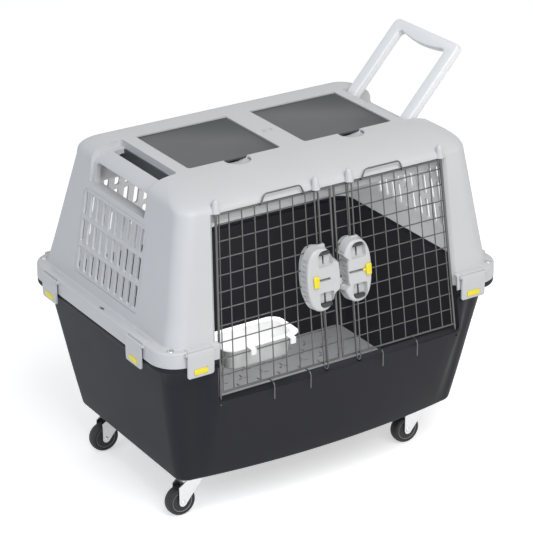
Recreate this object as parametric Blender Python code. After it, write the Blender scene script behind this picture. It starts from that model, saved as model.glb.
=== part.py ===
"""Pet travel crate: a dark tub and a light upper shell held together by latches round the waist, on four
swivel casters, with two wire doors on the long front side. Metres, +Z up, the front faces -Y."""

import math

import bmesh
import bpy
from mathutils import Matrix, Vector

# Fits and walls
FIT = 0.0003  # gap between pieces that seat on one another
SLIP = 0.0003  # gap round the rods in their channels
RUN = 0.0010  # gap round other pieces that move past one another
WALL = 0.003  # wall of both mouldings

# Heights
PAD_HEIGHT = 0.0934  # floor to the underside of the caster pads
PAD_DROP = 0.004  # the pads stand this far below the tub's bottom
TUB_HEIGHT = 0.2884  # tub's bottom to the top of its rim
LEDGE_RISE = 0.0266  # rim to the top of the shell's ledge
SHELL_RISE = 0.2436  # ledge to the start of the roof's rounding
ROOF_RISE = 0.0357  # start of the rounding to the flat middle of the roof
SKIRT_DROP = 0.0320  # ledge to the lower edge of the skirt

# Plan sizes, half lengths along X and Y
SKIRT_X = 0.3930
SKIRT_Y = 0.2730
SKIRT_CORNER = 0.055
TUB_IN_X = 0.0187  # the top of the tub's wall lies this far inside the skirt
TUB_IN_Y = 0.0108
TUB_LEAN_X = 0.0493  # each end wall leans out by this over the tub's height
TUB_LEAN_Y = 0.0556
TUB_BELLY = 0.002  # the walls are a little convex
TUB_CORNER = 0.045
LEDGE_END = 0.0245  # width of the ledge between the skirt and the shell's walls
LEDGE_REAR = 0.0182
FOOT_CORNER = 0.035
END_LEAN = 0.1702  # run over rise of the shell's end walls
REAR_LEAN = 0.2624
RIM = 0.005  # thickness of the tub's rim flange
RIM_GAP = 0.003  # rim flange to the inside of the skirt
BEAD = 0.0104  # height of the rim's bead that shows below the skirt
BEAD_INSET = 0.0035  # the bead's lower edge lies this far inside the skirt's face
PAD_X = 0.054  # length of a caster pad
PAD_Y = 0.046

# Front of the tub
FRONT_BOW = 0.0248  # bow of the front wall at the bottom
SILL_BOW = 0.012
BAY_DEPTH = 0.029  # the bay round the doors stands out by this at the sill
BAY_TOP = 0.003
BAY_SHARE = 0.88  # the bay's part of the straight front
SILL_RISE = 0.1966  # tub's bottom to the sill
SILL_BEHIND = 0.0119  # the sill's shelf reaches this far behind the doors' foot
POST = 0.003  # posts beside the door opening
POST_DEPTH = 0.010

# Roof
ROOF_END = 0.0820  # the roof's rounding runs this far in from the top of each wall
ROOF_FRONT = 0.1142
ROOF_REAR = 0.0809
EDGE_POWER = 2.6  # roundness of the roof's end and rear edges
HEADER_POWER = 1.7  # the front edge falls more softly
LID_INNER = 0.0273
LID_MARGIN = 0.0131  # lids to the start of the roof's rounding
LID_MARGIN_FRONT = 0.0192
LID_MARGIN_REAR = 0.0075
LID_THICK = 0.0035
LID_SINK = 0.0022
WELL_DEPTH = 0.040
WELL_LEDGE = 0.006
SCOOP_RADIUS = 0.016
SCOOP_DEPTH = 0.009
LID_PIN = 0.0016
LID_HINGE_INSET = 0.0040  # lid's hinge line to the rear of its rebate
LID_REAR_GAP = 0.0012

# Carrying grip, left end
GRIP_START = 0.0150  # the recess starts this far past the flat middle of the roof
GRIP_HALF = 0.1065
GRIP_FOOT = 0.0746  # roof to the recess's foot on the end wall
GRIP_IN = 0.006  # the recess lies this far inside the end wall
GRIP_DOWN = 0.012
GRIP_THICK = 0.010
GRIP_SLOT = 0.0260  # width of the slot behind the bar
GRIP_SLOT_HALF = 0.0900
GRIP_OPENING_TOP = 0.0332  # roof to the top of the opening in the end wall

# Tow bail, right end
BAIL_SPREAD = 0.0940
BAIL_LENGTH = 0.1955
BAIL_ANGLE = 48.0
BAIL_FOLD = -12.0
BAIL_START = 0.0190  # flat middle of the roof to the pivot
BAIL_PIVOT_DROP = 0.0197
BAIL_WIDTH = 0.0230
BAIL_THICK = 0.0150
BAIL_BAR = 0.0220
BAIL_BAR_MIDDLE = 0.0300
BAIL_PIN = 0.0040
BAIL_KNUCKLE = 0.0086
BAIL_SEAT = 0.0090  # pivot to the floor of the recess
BAIL_RECESS_START = 0.0095
BAIL_CLEAR = 0.0025  # bail to each side of its recess

# Vents
VENT_COLUMNS = 10
VENT_ROWS = 3
VENT_PITCH = 0.0243
VENT_ROW_PITCH = 0.056
SLOT_WIDTH = 0.0105
SLOT_LENGTH = 0.047
VENT_FOOT = 0.0226  # ledge to the vents' lower edge
VENT_BORDER = 0.0070
VENT_CORNER = 0.018
VENT_LIP = 0.004
VENT_LIP_THICK = 0.0015
REAR_VENT_X = 0.155

# Doors
DOOR_IN = 0.0031  # the bottom wires lie this far inside the skirt's face
DOOR_LEAN = 0.1132
DOOR_GAP = 0.0143  # sill to the bottom wire
DOOR_HEAD = 0.0063  # top wires to the eaves
DOOR_TOP_X = 0.2541
DOOR_FLARE = 0.0539  # each outer edge moves out by this for each metre down
DOOR_MEET = 0.0045  # half the gap between the doors' frame wires
DOOR_CELLS = 9
DOOR_ROWS = 11
FIRST_ROW = 0.0194
WIRE = 0.0012
FRAME_WIRE = 0.0021
HINGE_WIRE = 0.0025
LAYER = 0.0013  # the rows lie this far behind the uprights
JAMB_GAP = 0.0065  # hinge line to the edge of the opening
JAMB = 0.0025
FACE = 0.0017  # the shell's front face lies this far in front of the door plane
HEAD_GAP = 0.0033  # top wire to the header
HEAD_LAND = 0.0223
LAND_BACK = 0.0100
HOOK_OUT = 0.0213  # the hooks stand this far in front of the doors' foot
HOOK_DROP = 0.0330
LOOP_RISE = 0.0180
LOOPS = (0.065, 0.160)  # each door's top loop runs between these distances from the middle
HOOKS = ((0.075, 0.093), (0.156, 0.176))

# Sockets in the header
SOCKET = 0.0080
SOCKET_RISE = 0.0170
SOCKET_BORE = 0.0140
ROD_HOLE = 0.0036
PIN_HOLE = 0.0034
PIN_TOP = 0.0125  # hinge wire beyond the top wire
PIN_BOTTOM = 0.0185

# Rods, latch housings and bowl
ROD_IN = 0.0012  # the rods lie this far inside the middle of a housing
ROD_SPREAD = 0.0045
ROD_WIRE = 0.0015
ROD_OUT = 0.0042
ROD_TRAVEL = 0.008
ROD_SHORT = 0.0005  # the tips stop this far from their holes at rest
HOUSING_X = 0.0390
HOUSING_RISE = 0.1800  # bottom wire to the middle of the housings
HOUSING_HALF_HEIGHT = 0.070
HOUSING_HALF_WIDTH = 0.0265
HOUSING_FRONT = 0.0230
HOUSING_BACK = 0.0170
HOUSING_POWER = 2.6
SHOULDER = 0.0100
WINDOW_IN = 0.0160  # middle of the housing to the near end of a window
WINDOW_OUT = 0.0580
WINDOW_HALF = 0.0130
CLAMP_OUT = 0.0145  # housing's middle to the bosses that clamp its halves through the grid
CLAMP_Z = 0.0300
CLAMP_BOSS = 0.0030
SLIDER_SLOT = 0.0120
SLIDER_NECK = 0.0014
SLIDER_SIZE = (0.011, 0.020)
BOWL_ROW = 8  # the bowl hangs on this row of the door, counted down from the first
BOWL_LENGTH = 0.170
BOWL_DEPTH = 0.094
BOWL_HEIGHT = 0.050
BOWL_X = -0.160
BOWL_BEHIND = 0.0199  # the bowl's front lies this far behind the doors' foot
BOWL_FLANGE = 0.010

# Waist latches
FLAP_WIDTH = 0.056
FLAP_HEIGHT = 0.052
FLAP_INNER = 0.0026
FLAP_OUTER = 0.0062
FLAP_BARREL = 0.0030
FLAP_IN_X = 0.0790  # skirt's end to the middle of a front or rear latch
FLAP_IN_Y = 0.1050
FLAP_LIP_WIDTH = 0.024
INSERT_WIDTH = 0.030
INSERT_HEIGHT = 0.0115
INSERT_SINK = 0.0015
EAR = 0.003

# Corner screws
SCREW_HEAD = 0.0052
SCREW_SHAFT = 0.0022

# Casters
CASTER_IN_X = 0.1233  # skirt to the swivel's axis
CASTER_IN_Y = 0.1190
CASTER_TRAIL = 0.0290
WHEEL_RADIUS = 0.0310
WHEEL_WIDTH = 0.0225
CHEEK = 0.0020
AXLE_RADIUS = 0.0030

# Floor panel
PANEL_GAP = 0.004
PANEL_THICK = 0.004

# Heights worked out from the sizes above
Z_TUB = PAD_HEIGHT + PAD_DROP
Z_RIM = Z_TUB + TUB_HEIGHT
Z_LEDGE = Z_RIM + LEDGE_RISE
Z_SKIRT = Z_LEDGE - SKIRT_DROP
Z_BEAD = Z_SKIRT - RUN - BEAD
Z_EAVES = Z_LEDGE + SHELL_RISE
Z_ROOF = Z_EAVES + ROOF_RISE
Z_SILL = Z_TUB + SILL_RISE
Z_DOOR_BOTTOM = Z_SILL + DOOR_GAP
Z_DOOR_TOP = Z_EAVES - DOOR_HEAD
Z_HEAD = Z_DOOR_TOP + HEAD_GAP
Z_HOUSING = Z_DOOR_BOTTOM + HOUSING_RISE

# Plan sizes worked out from the sizes above
TUB_TOP_X = SKIRT_X - TUB_IN_X
TUB_TOP_Y = SKIRT_Y - TUB_IN_Y
FOOT_X = SKIRT_X - LEDGE_END
FOOT_REAR = SKIRT_Y - LEDGE_REAR
DOOR_FOOT = SKIRT_Y - DOOR_IN
EAVES_FRONT = DOOR_FOOT + FACE - (Z_EAVES - Z_DOOR_BOTTOM) * DOOR_LEAN
FLAT_X = FOOT_X - END_LEAN * SHELL_RISE - ROOF_END
FLAT_FRONT = EAVES_FRONT - ROOF_FRONT
FLAT_REAR = FOOT_REAR - REAR_LEAN * SHELL_RISE - ROOF_REAR
FRONT_OUT = -SKIRT_Y - 0.067  # past everything at the front
SILL_BACK = DOOR_FOOT - SILL_BEHIND
HOOK_REACH = DOOR_FOOT + HOOK_OUT
LID_OUTER = FLAT_X - LID_MARGIN
LID_FRONT = FLAT_FRONT - LID_MARGIN_FRONT
LID_REAR = FLAT_REAR - LID_MARGIN_REAR
GRIP_INNER = FLAT_X + GRIP_START
BAIL_PIVOT_X = FLAT_X + BAIL_START
BAIL_RECESS_INNER = FLAT_X + BAIL_RECESS_START
BAIL_RECESS_HALF = BAIL_SPREAD + BAIL_WIDTH / 2 + BAIL_CLEAR
ROD_X = HOUSING_X - ROD_IN
CLAMP_X = HOUSING_X + CLAMP_OUT
BOWL_FRONT = DOOR_FOOT - BOWL_BEHIND
FLAP_FRONT_X = SKIRT_X - FLAP_IN_X
FLAP_END_Y = SKIRT_Y - FLAP_IN_Y
CASTER_X = SKIRT_X - CASTER_IN_X
CASTER_Y = SKIRT_Y - CASTER_IN_Y

# Facets
CORNER_STEPS = 5
ROOF_STEPS = 5
FRONT_SHARES = (-1, -0.96, -0.92, -0.88, -0.6, 0, 0.6, 0.88, 0.92, 0.96, 1)

SIDES = {"left": -1, "right": 1}
FINISHES = {
    "shell": ((0.68, 0.70, 0.73), 0.42, 0.0),
    "tub": ((0.045, 0.048, 0.053), 0.48, 0.0),
    "lid": ((0.075, 0.080, 0.086), 0.45, 0.0),
    "panel": ((0.33, 0.33, 0.35), 0.55, 0.0),
    "bail": ((0.74, 0.75, 0.76), 0.40, 0.0),
    "wire": ((0.36, 0.36, 0.35), 0.32, 1.0),
    "housing": ((0.66, 0.66, 0.66), 0.38, 0.0),
    "pull": ((0.06, 0.06, 0.065), 0.45, 0.0),
    "yellow": ((0.80, 0.72, 0.06), 0.40, 0.0),
    "bowl": ((0.82, 0.83, 0.84), 0.30, 0.0),
    "zinc": ((0.62, 0.63, 0.64), 0.30, 1.0),
    "tyre": ((0.018, 0.018, 0.020), 0.60, 0.0),
    "black": ((0.03, 0.03, 0.032), 0.50, 0.0),
}


# Scene and mesh helpers
def clear_scene():
    for obj in list(bpy.data.objects):
        bpy.data.objects.remove(obj)


def make_finish(name):
    """A Principled material with the colour, roughness and metallic value of one finish."""
    colour, roughness, metallic = FINISHES[name]
    material = bpy.data.materials.get(name) or bpy.data.materials.new(name)
    material.use_nodes = True
    shader = material.node_tree.nodes["Principled BSDF"]
    shader.inputs["Base Color"].default_value = (*colour, 1)
    shader.inputs["Roughness"].default_value = roughness
    shader.inputs["Metallic"].default_value = metallic
    return material


def add_mesh(name, points, faces, finish=None):
    """A mesh object of these points and faces, with its faces turned outwards."""
    mesh = bpy.data.meshes.new(name)
    mesh.from_pydata([tuple(point) for point in points], [], faces)
    shape = bmesh.new()
    shape.from_mesh(mesh)
    bmesh.ops.recalc_face_normals(shape, faces=shape.faces)
    shape.to_mesh(mesh)
    shape.free()
    obj = bpy.data.objects.new(name, mesh)
    bpy.context.scene.collection.objects.link(obj)
    if finish:
        mesh.materials.append(make_finish(finish))
    return obj


def loft(name, rings, finish=None):
    """A closed skin over rings with as many points each, and a face over the first and the last."""
    count = len(rings[0])
    points = [point for ring in rings for point in ring]
    faces = [tuple(range(count)), tuple(range(len(points) - count, len(points)))]
    for row in range(len(rings) - 1):
        low = row * count
        for i in range(count):
            j = (i + 1) % count
            faces.append((low + i, low + j, low + count + j, low + count + i))
    return add_mesh(name, points, faces, finish)


def prism(name, outline, shift, finish=None):
    """An outline of points pushed along a vector."""
    shift = Vector(shift)
    return loft(name, [outline, [point + shift for point in outline]], finish)


def box(name, low, high, finish=None):
    (x0, y0, z0), (x1, y1, z1) = low, high
    outline = [Vector((x0, y0, z0)), Vector((x1, y0, z0)), Vector((x1, y1, z0)), Vector((x0, y1, z0))]
    return prism(name, outline, (0, 0, z1 - z0), finish)


def circle(centre, along, radius, sides, turn=0.5):
    """Points round a centre, in the plane square to a direction."""
    along = Vector(along).normalized()
    first = along.orthogonal().normalized()
    second = along.cross(first)
    points = []
    for step in range(sides):
        angle = 2 * math.pi * (step + turn) / sides
        points.append(Vector(centre) + (first * math.cos(angle) + second * math.sin(angle)) * radius)
    return points


def turned(name, centre, along, profile, sides, finish=None):
    """A turned solid: the profile is (distance along the axis, radius) pairs."""
    along = Vector(along).normalized()
    rings = [circle(Vector(centre) + along * reach, along, radius, sides) for reach, radius in profile]
    return loft(name, rings, finish)


def rod(name, start, end, radius, sides, finish=None):
    start, end = Vector(start), Vector(end)
    return turned(name, start, end - start, ((0, radius), ((end - start).length, radius)), sides, finish)


def wire(name, path, radius, sides, facing, finish=None):
    """A wire along a path, with flat sides turned towards a direction."""
    facing = Vector(facing).normalized()
    rings = []
    for i, point in enumerate(path):
        into = (path[i] - path[i - 1]).normalized() if i else Vector()
        out = (path[i + 1] - path[i]).normalized() if i + 1 < len(path) else Vector()
        along = (into + out).normalized()
        first = (facing - along * facing.dot(along)).normalized()
        second = along.cross(first)
        ring = []
        for step in range(sides):
            angle = 2 * math.pi * (step + 0.5) / sides
            ring.append(point + (first * math.cos(angle) + second * math.sin(angle)) * radius)
        rings.append(ring)
    return loft(name, rings, finish)


def combine(target, operation, *others):
    """Join the other objects to the target, cut them from it or keep what they share. They are used up."""
    for other in others:
        step = target.modifiers.new("Shape", "BOOLEAN")
        step.operation = operation
        step.solver = "EXACT"
        step.object = other
        with bpy.context.temp_override(object=target, active_object=target, selected_objects=[target]):
            bpy.ops.object.modifier_apply(modifier=step.name)
        bpy.data.objects.remove(other)
    return target


def gather(name, objects, finish=None):
    """One object of separate shapes that don't touch, such as a set of cutters."""
    shape = bmesh.new()
    for obj in objects:
        shape.from_mesh(obj.data)
        bpy.data.objects.remove(obj)
    mesh = bpy.data.meshes.new(name)
    shape.to_mesh(mesh)
    shape.free()
    obj = bpy.data.objects.new(name, mesh)
    bpy.context.scene.collection.objects.link(obj)
    if finish:
        mesh.materials.append(make_finish(finish))
    return obj


def hang_on(obj, pivot):
    """Put the object's origin on its joint's axis and leave its shape where it is."""
    obj.data.transform(Matrix.Translation(-Vector(pivot)))
    obj.location = pivot
    return obj


def attach(obj, parent):
    """Parent the object and leave it where it is."""
    bpy.context.view_layer.update()
    obj.parent = parent
    obj.matrix_parent_inverse = parent.matrix_world.inverted()
    return obj


def smooth(obj, angle=35):
    obj.data.shade_smooth()
    obj.data.set_sharp_from_angle(angle=math.radians(angle))
    return obj


def lerp(start, end, share):
    return start + (end - start) * share


# The door plane and the walls
def door_y(z):
    """Y of the leaning door plane at a height."""
    return (z - Z_DOOR_BOTTOM) * DOOR_LEAN - DOOR_FOOT


def door_edge(z):
    """Distance from the middle to a door's hinge line at a height."""
    return DOOR_TOP_X + (Z_DOOR_TOP - z) * DOOR_FLARE


def on_door(x, z, out=0.0):
    return Vector((x, door_y(z) - out, z))


DOOR_UP = Vector((0, DOOR_LEAN, 1)).normalized()
DOOR_OUT = Vector((0, -1, DOOR_LEAN)).normalized()


def plan(half_x, front, rear, corner, bow=0.0, bay=0.0):
    """A rounded rectangle seen from above. The front may bow, and carry a bay with sloping sides."""
    straight = half_x - corner
    points = []
    for share in FRONT_SHARES:
        past = max(0, (abs(share) - BAY_SHARE) / (1 - BAY_SHARE))
        out = bow * (1 - share**2) + bay * (1 + math.cos(math.pi * past)) / 2
        points.append((share * straight, -front - out))
    corners = (
        (straight, corner - front, -90, 1, CORNER_STEPS),
        (straight, rear - corner, 0, 0, CORNER_STEPS),
        (-straight, rear - corner, 90, 0, CORNER_STEPS),
        (-straight, corner - front, 180, 0, CORNER_STEPS - 1),
    )
    for x, y, start, first, last in corners:
        for step in range(first, last + 1):
            angle = math.radians(start + 90 * step / CORNER_STEPS)
            points.append((x + corner * math.cos(angle), y + corner * math.sin(angle)))
    return points


def at_height(points, z):
    return [Vector((x, y, z)) for x, y in points]


def tub_ring(z, inset=0.0):
    """The tub's wall at a height, moved inwards by the inset."""
    up = (z - Z_TUB) / TUB_HEIGHT
    belly = 4 * TUB_BELLY * up * (1 - up)
    half_x = TUB_TOP_X - TUB_LEAN_X * (1 - up) + belly - inset
    half_y = TUB_TOP_Y - TUB_LEAN_Y * (1 - up) + belly - inset
    if z < Z_SILL:
        share = (z - Z_TUB) / SILL_RISE
        bow, bay = lerp(FRONT_BOW, SILL_BOW, share), BAY_DEPTH * share
    else:
        share = (z - Z_SILL) / (Z_RIM - Z_SILL)
        bow, bay = lerp(SILL_BOW, 0, share), lerp(BAY_DEPTH, BAY_TOP, share)
    return at_height(plan(half_x, half_y, half_y, TUB_CORNER - inset, bow, bay), z)


def skirt_ring(z, inset=0.0):
    return at_height(plan(SKIRT_X - inset, SKIRT_Y - inset, SKIRT_Y - inset, SKIRT_CORNER - inset), z)


def shell_ring(z, inset=0.0):
    """The shell's wall at a height, moved inwards by the inset."""
    rise = z - Z_LEDGE
    half_x = FOOT_X - END_LEAN * rise - inset
    front = FACE - door_y(z) - inset
    back = FOOT_REAR - REAR_LEAN * rise - inset
    return at_height(plan(half_x, front, back, FOOT_CORNER - inset), z)


def foot_ring(z, inset=0.0):
    """The shell's inner leg, which goes straight down from the foot of the walls to the tub's rim."""
    front = FACE - door_y(Z_LEDGE) - inset
    return at_height(plan(FOOT_X - inset, front, FOOT_REAR - inset, FOOT_CORNER - inset), z)


def rounding(height, depth, power):
    """How far a rounded edge has come in at a share of its height."""
    return depth * (1 - (1 - height**power) ** (1 / power))


def roof_rings(wall=0.0):
    """Rings from the eaves to the flat middle of the roof, a wall's thickness inside the outer skin."""
    rings = []
    for step in range(ROOF_STEPS + 1):
        height = math.sin(math.pi / 2 * step / ROOF_STEPS)
        half_x = FLAT_X + ROOF_END - rounding(height, ROOF_END, EDGE_POWER)
        front = FLAT_FRONT + ROOF_FRONT - rounding(height, ROOF_FRONT, HEADER_POWER)
        rear = FLAT_REAR + ROOF_REAR - rounding(height, ROOF_REAR, EDGE_POWER)
        inset = wall * (1 - height**4)
        points = plan(half_x - inset, front - inset, rear - inset, FOOT_CORNER - inset)
        rings.append(at_height(points, Z_EAVES + ROOF_RISE * height - wall * height))
    return rings


def rounded_outline(half_width, low, high, low_corner, high_corner, steps=4):
    """A flat outline (u, v) with round corners, anticlockwise from the lower left."""
    points = []
    corners = (
        (-half_width + low_corner, low + low_corner, 180, low_corner),
        (half_width - low_corner, low + low_corner, 270, low_corner),
        (half_width - high_corner, high - high_corner, 0, high_corner),
        (-half_width + high_corner, high - high_corner, 90, high_corner),
    )
    for u, v, start, corner in corners:
        count = steps if corner else 0
        for step in range(count + 1):
            angle = math.radians(start + (90 * step / count if count else 0))
            points.append((u + corner * math.cos(angle), v + corner * math.sin(angle)))
    return points


# Tub
def make_tub():
    top = Z_RIM - RIM
    below = top - 0.006
    outer = [
        tub_ring(Z_TUB, 0.012),
        tub_ring(Z_TUB + 0.0035, 0.0035),
        tub_ring(Z_TUB + 0.012),
        tub_ring(lerp(Z_TUB, Z_SILL, 0.5)),
        tub_ring(Z_SILL),
        tub_ring(lerp(Z_SILL, Z_BEAD, 0.45)),
        tub_ring(Z_BEAD - 0.009),
        skirt_ring(Z_BEAD, BEAD_INSET),
        skirt_ring(Z_BEAD + 0.002, 0.0008),
        skirt_ring(Z_SKIRT - RUN, 0.0005),
    ]
    flange = WALL + RIM_GAP
    rim = [skirt_ring(Z_SKIRT - RUN, flange), skirt_ring(Z_RIM, flange), foot_ring(Z_RIM, WALL + RUN)]
    inner = [
        foot_ring(top, WALL + RUN),
        tub_ring(below, WALL),
        tub_ring(lerp(Z_SILL, Z_BEAD, 0.45), WALL),
        tub_ring(Z_SILL, WALL),
        tub_ring(lerp(Z_TUB, Z_SILL, 0.5), WALL),
        tub_ring(Z_TUB + 0.014, WALL),
        tub_ring(Z_TUB + WALL, WALL + 0.012),
    ]
    tub = loft("base_tub", outer + rim + inner, "tub")
    combine(tub, "UNION", sill_shelf(), door_posts(), caster_pads())
    combine(tub, "DIFFERENCE", tub_opening(), sill_holes(), rim_screw_holes())
    return smooth(tub)


def tub_form(inset):
    """The tub's wall as a solid, a little inside its outer skin."""
    heights = (Z_TUB + 0.012, lerp(Z_TUB, Z_SILL, 0.5), Z_SILL, lerp(Z_SILL, Z_BEAD, 0.45), Z_BEAD - 0.009)
    return loft("tub_form", [tub_ring(z, inset) for z in (*heights, Z_RIM - RIM / 2)])


def sill_shelf():
    """The sill: a shelf from the middle of the front wall back to behind the doors."""
    half = door_edge(Z_SILL) + JAMB_GAP + POST / 2
    shelf = box("shelf", (-half, FRONT_OUT, Z_SILL - WALL - 0.001), (half, -SILL_BACK, Z_SILL + 0.002))
    return combine(shelf, "INTERSECT", tub_form(WALL / 2))


def door_posts():
    """A post each side of the opening, from the front wall back past the doors."""
    posts = []
    for side in SIDES.values():
        rings = []
        for z in (Z_SILL - WALL, Z_RIM + 0.01):
            x0 = side * (door_edge(z) + JAMB_GAP - RUN)
            x1 = side * (door_edge(z) + JAMB_GAP + POST)
            y0, y1 = FRONT_OUT, door_y(z) + POST_DEPTH
            rings.append([Vector((x0, y0, z)), Vector((x1, y0, z)), Vector((x1, y1, z)), Vector((x0, y1, z))])
        posts.append(loft("post", rings))
    return combine(gather("posts", posts), "INTERSECT", tub_form(WALL / 2))


def opening_outline(bottom, top, y):
    """Outline of the door opening between two heights, at a Y."""
    points = []
    for z, side in ((bottom, 1), (top, 1), (top, -1), (bottom, -1)):
        points.append(Vector((side * (door_edge(z) + JAMB_GAP), y, z)))
    return points


def tub_opening():
    outline = opening_outline(Z_SILL, Z_RIM + 0.01, FRONT_OUT)
    return prism("tub_opening", outline, (0, 0.10, 0))


def sill_holes():
    """Holes in the sill for the hinge wires and the lower rods."""
    holes = []
    for side in SIDES.values():
        hinge = on_door(side * door_edge(Z_SILL), Z_SILL)
        tip = on_door(side * ROD_X, Z_SILL, ROD_OUT)
        slant = Vector((-side * DOOR_FLARE, DOOR_LEAN, 1)).normalized()
        holes.append(rod("hole", hinge - slant * 0.012, hinge + slant * 0.012, PIN_HOLE, 10))
        holes.append(rod("hole", tip - DOOR_UP * 0.012, tip + DOOR_UP * 0.012, ROD_HOLE, 10))
    return gather("sill_holes", holes)


def caster_pads():
    pads = []
    for x in (-CASTER_X, CASTER_X):
        for y in (-CASTER_Y, CASTER_Y):
            outline = rounded_outline(PAD_X / 2, -PAD_Y / 2, PAD_Y / 2, 0.008, 0.008, 2)
            low = [Vector((x + u, y + v, PAD_HEIGHT)) for u, v in outline]
            pads.append(prism("pad", low, (0, 0, PAD_DROP + WALL / 2)))
    return gather("pads", pads)


def screw_places():
    """The middle of the ledge at each corner."""
    half = math.sqrt(0.5)
    wall_x = FOOT_X - FOOT_CORNER * (1 - half)
    skirt_x = SKIRT_X - SKIRT_CORNER * (1 - half)
    wall_y = FOOT_REAR - FOOT_CORNER * (1 - half)
    skirt_y = SKIRT_Y - SKIRT_CORNER * (1 - half)
    x, y = lerp(wall_x, skirt_x, 0.46), lerp(wall_y, skirt_y, 0.46)
    return {
        "front_left": (-x, -y),
        "front_right": (x, -y),
        "rear_left": (-x, y),
        "rear_right": (x, y),
    }


def rim_screw_holes():
    holes = []
    for x, y in screw_places().values():
        holes.append(rod("hole", (x, y, Z_RIM - 0.02), (x, y, Z_RIM + 0.01), SCREW_SHAFT + FIT, 8))
    return gather("rim_holes", holes)


def make_floor_panel():
    low = Z_TUB + WALL + FIT
    inset = WALL + PANEL_GAP
    rings = []
    for z, more in ((low, 0.012), (low + 0.004, 0.006), (low + 0.004 + PANEL_THICK, 0.004)):
        rings.append(tub_ring(z, inset + more))
    return loft("floor_panel", rings, "panel")


# Upper shell
def make_shell():
    roof = roof_rings()
    roof.reverse()
    outside = roof + [
        foot_ring(Z_LEDGE),
        skirt_ring(Z_LEDGE, 0.0035),
        skirt_ring(Z_LEDGE - 0.0035, 0.0005),
        skirt_ring(Z_SKIRT),
    ]
    channel = [
        skirt_ring(Z_SKIRT, WALL),
        skirt_ring(Z_LEDGE - WALL, WALL),
        foot_ring(Z_LEDGE - WALL),
        foot_ring(Z_RIM + FIT),
        foot_ring(Z_RIM + FIT, WALL),
        foot_ring(Z_LEDGE, WALL),
    ]
    shell = loft("upper_shell", outside + channel + roof_rings(WALL), "shell")
    combine(shell, "UNION", lid_frames(), grip_block(), bail_block())
    combine(shell, "DIFFERENCE", shell_opening(), lid_pockets(), grip_recess(), bail_recess())
    combine(shell, "UNION", header_plate(), door_jambs(), header_sockets(), latch_ears(), bail_bosses())
    combine(shell, "DIFFERENCE", socket_bores(), grip_slots(), vent_windows(), ledge_screw_holes())
    combine(shell, "DIFFERENCE", pin_bores())
    return smooth(shell)


def outer_solid(name):
    """The shell's outer form as a solid, from the ledge up."""
    return loft(name, [shell_ring(Z_LEDGE)] + roof_rings())


def shell_opening():
    outline = opening_outline(Z_SKIRT - 0.02, Z_HEAD, FRONT_OUT)
    back = door_y(Z_HEAD) + LAND_BACK + WALL * 2
    return prism("shell_opening", outline, (0, back - FRONT_OUT, 0))


def header_plate():
    """The header's underside, from the front face back past the doors."""
    half = door_edge(Z_HEAD) + JAMB_GAP + JAMB * 0.6
    front, back = door_y(Z_HEAD) - FACE + RUN / 2, door_y(Z_HEAD) + LAND_BACK
    return box("header_plate", (-half, front, Z_HEAD), (half, back, Z_HEAD + WALL))


def make_header_trim():
    """The strip that hangs behind the top of the doors, between the jambs."""
    front = door_y(Z_HEAD) + LAND_BACK + FIT
    half = door_edge(Z_HEAD) + JAMB_GAP - FIT
    low = Z_DOOR_TOP - HEAD_LAND + HEAD_GAP
    high = roof_skin_height(-front) - WALL * 1.6
    return box("header_trim", (-half, front, low), (half, front + WALL, high), "shell")


def roof_skin_height(front):
    """Height of the roof's outer skin above the header, at a distance in front of the middle."""
    inside = (EAVES_FRONT - front) / ROOF_FRONT
    return Z_EAVES + ROOF_RISE * (1 - (1 - inside) ** HEADER_POWER) ** (1 / HEADER_POWER)


def door_jambs():
    """Returns along the opening's edges, from the front face back past the doors."""
    jambs = []
    for side in SIDES.values():
        rings = []
        for z in (Z_RIM + FIT, Z_HEAD + WALL / 2):
            x0 = side * (door_edge(z) + JAMB_GAP)
            x1 = x0 + side * JAMB
            y0, y1 = door_y(z) - FACE + RUN / 2, door_y(z) + LAND_BACK + WALL
            rings.append([Vector((x0, y0, z)), Vector((x1, y0, z)), Vector((x1, y1, z)), Vector((x0, y1, z))])
        jambs.append(loft("jamb", rings))
    return gather("jambs", jambs)


def socket_axes():
    """(foot, direction, hole radius) of each socket in the header."""
    axes = []
    for side in SIDES.values():
        slant = Vector((-side * DOOR_FLARE, DOOR_LEAN, 1)).normalized()
        axes.append((on_door(side * door_edge(Z_HEAD), Z_HEAD), slant, PIN_HOLE))
        axes.append((on_door(side * ROD_X, Z_HEAD, ROD_OUT), DOOR_UP, ROD_HOLE))
    return axes


def header_sockets():
    sockets = []
    for foot, up, _ in socket_axes():
        profile = ((0.0002, SOCKET), (SOCKET_RISE * 0.75, SOCKET * 0.92), (SOCKET_RISE, SOCKET * 0.62))
        sockets.append(turned("socket", foot, up, profile, 12))
    return gather("sockets", sockets)


def socket_bores():
    bores = []
    for foot, up, radius in socket_axes():
        bores.append(rod("bore", foot - up * 0.004, foot + up * SOCKET_BORE, radius, 10))
    return gather("bores", bores)


def lid_span(side):
    """The lid's rebate along X, lower end first."""
    return sorted((side * LID_INNER, side * LID_OUTER))


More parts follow.
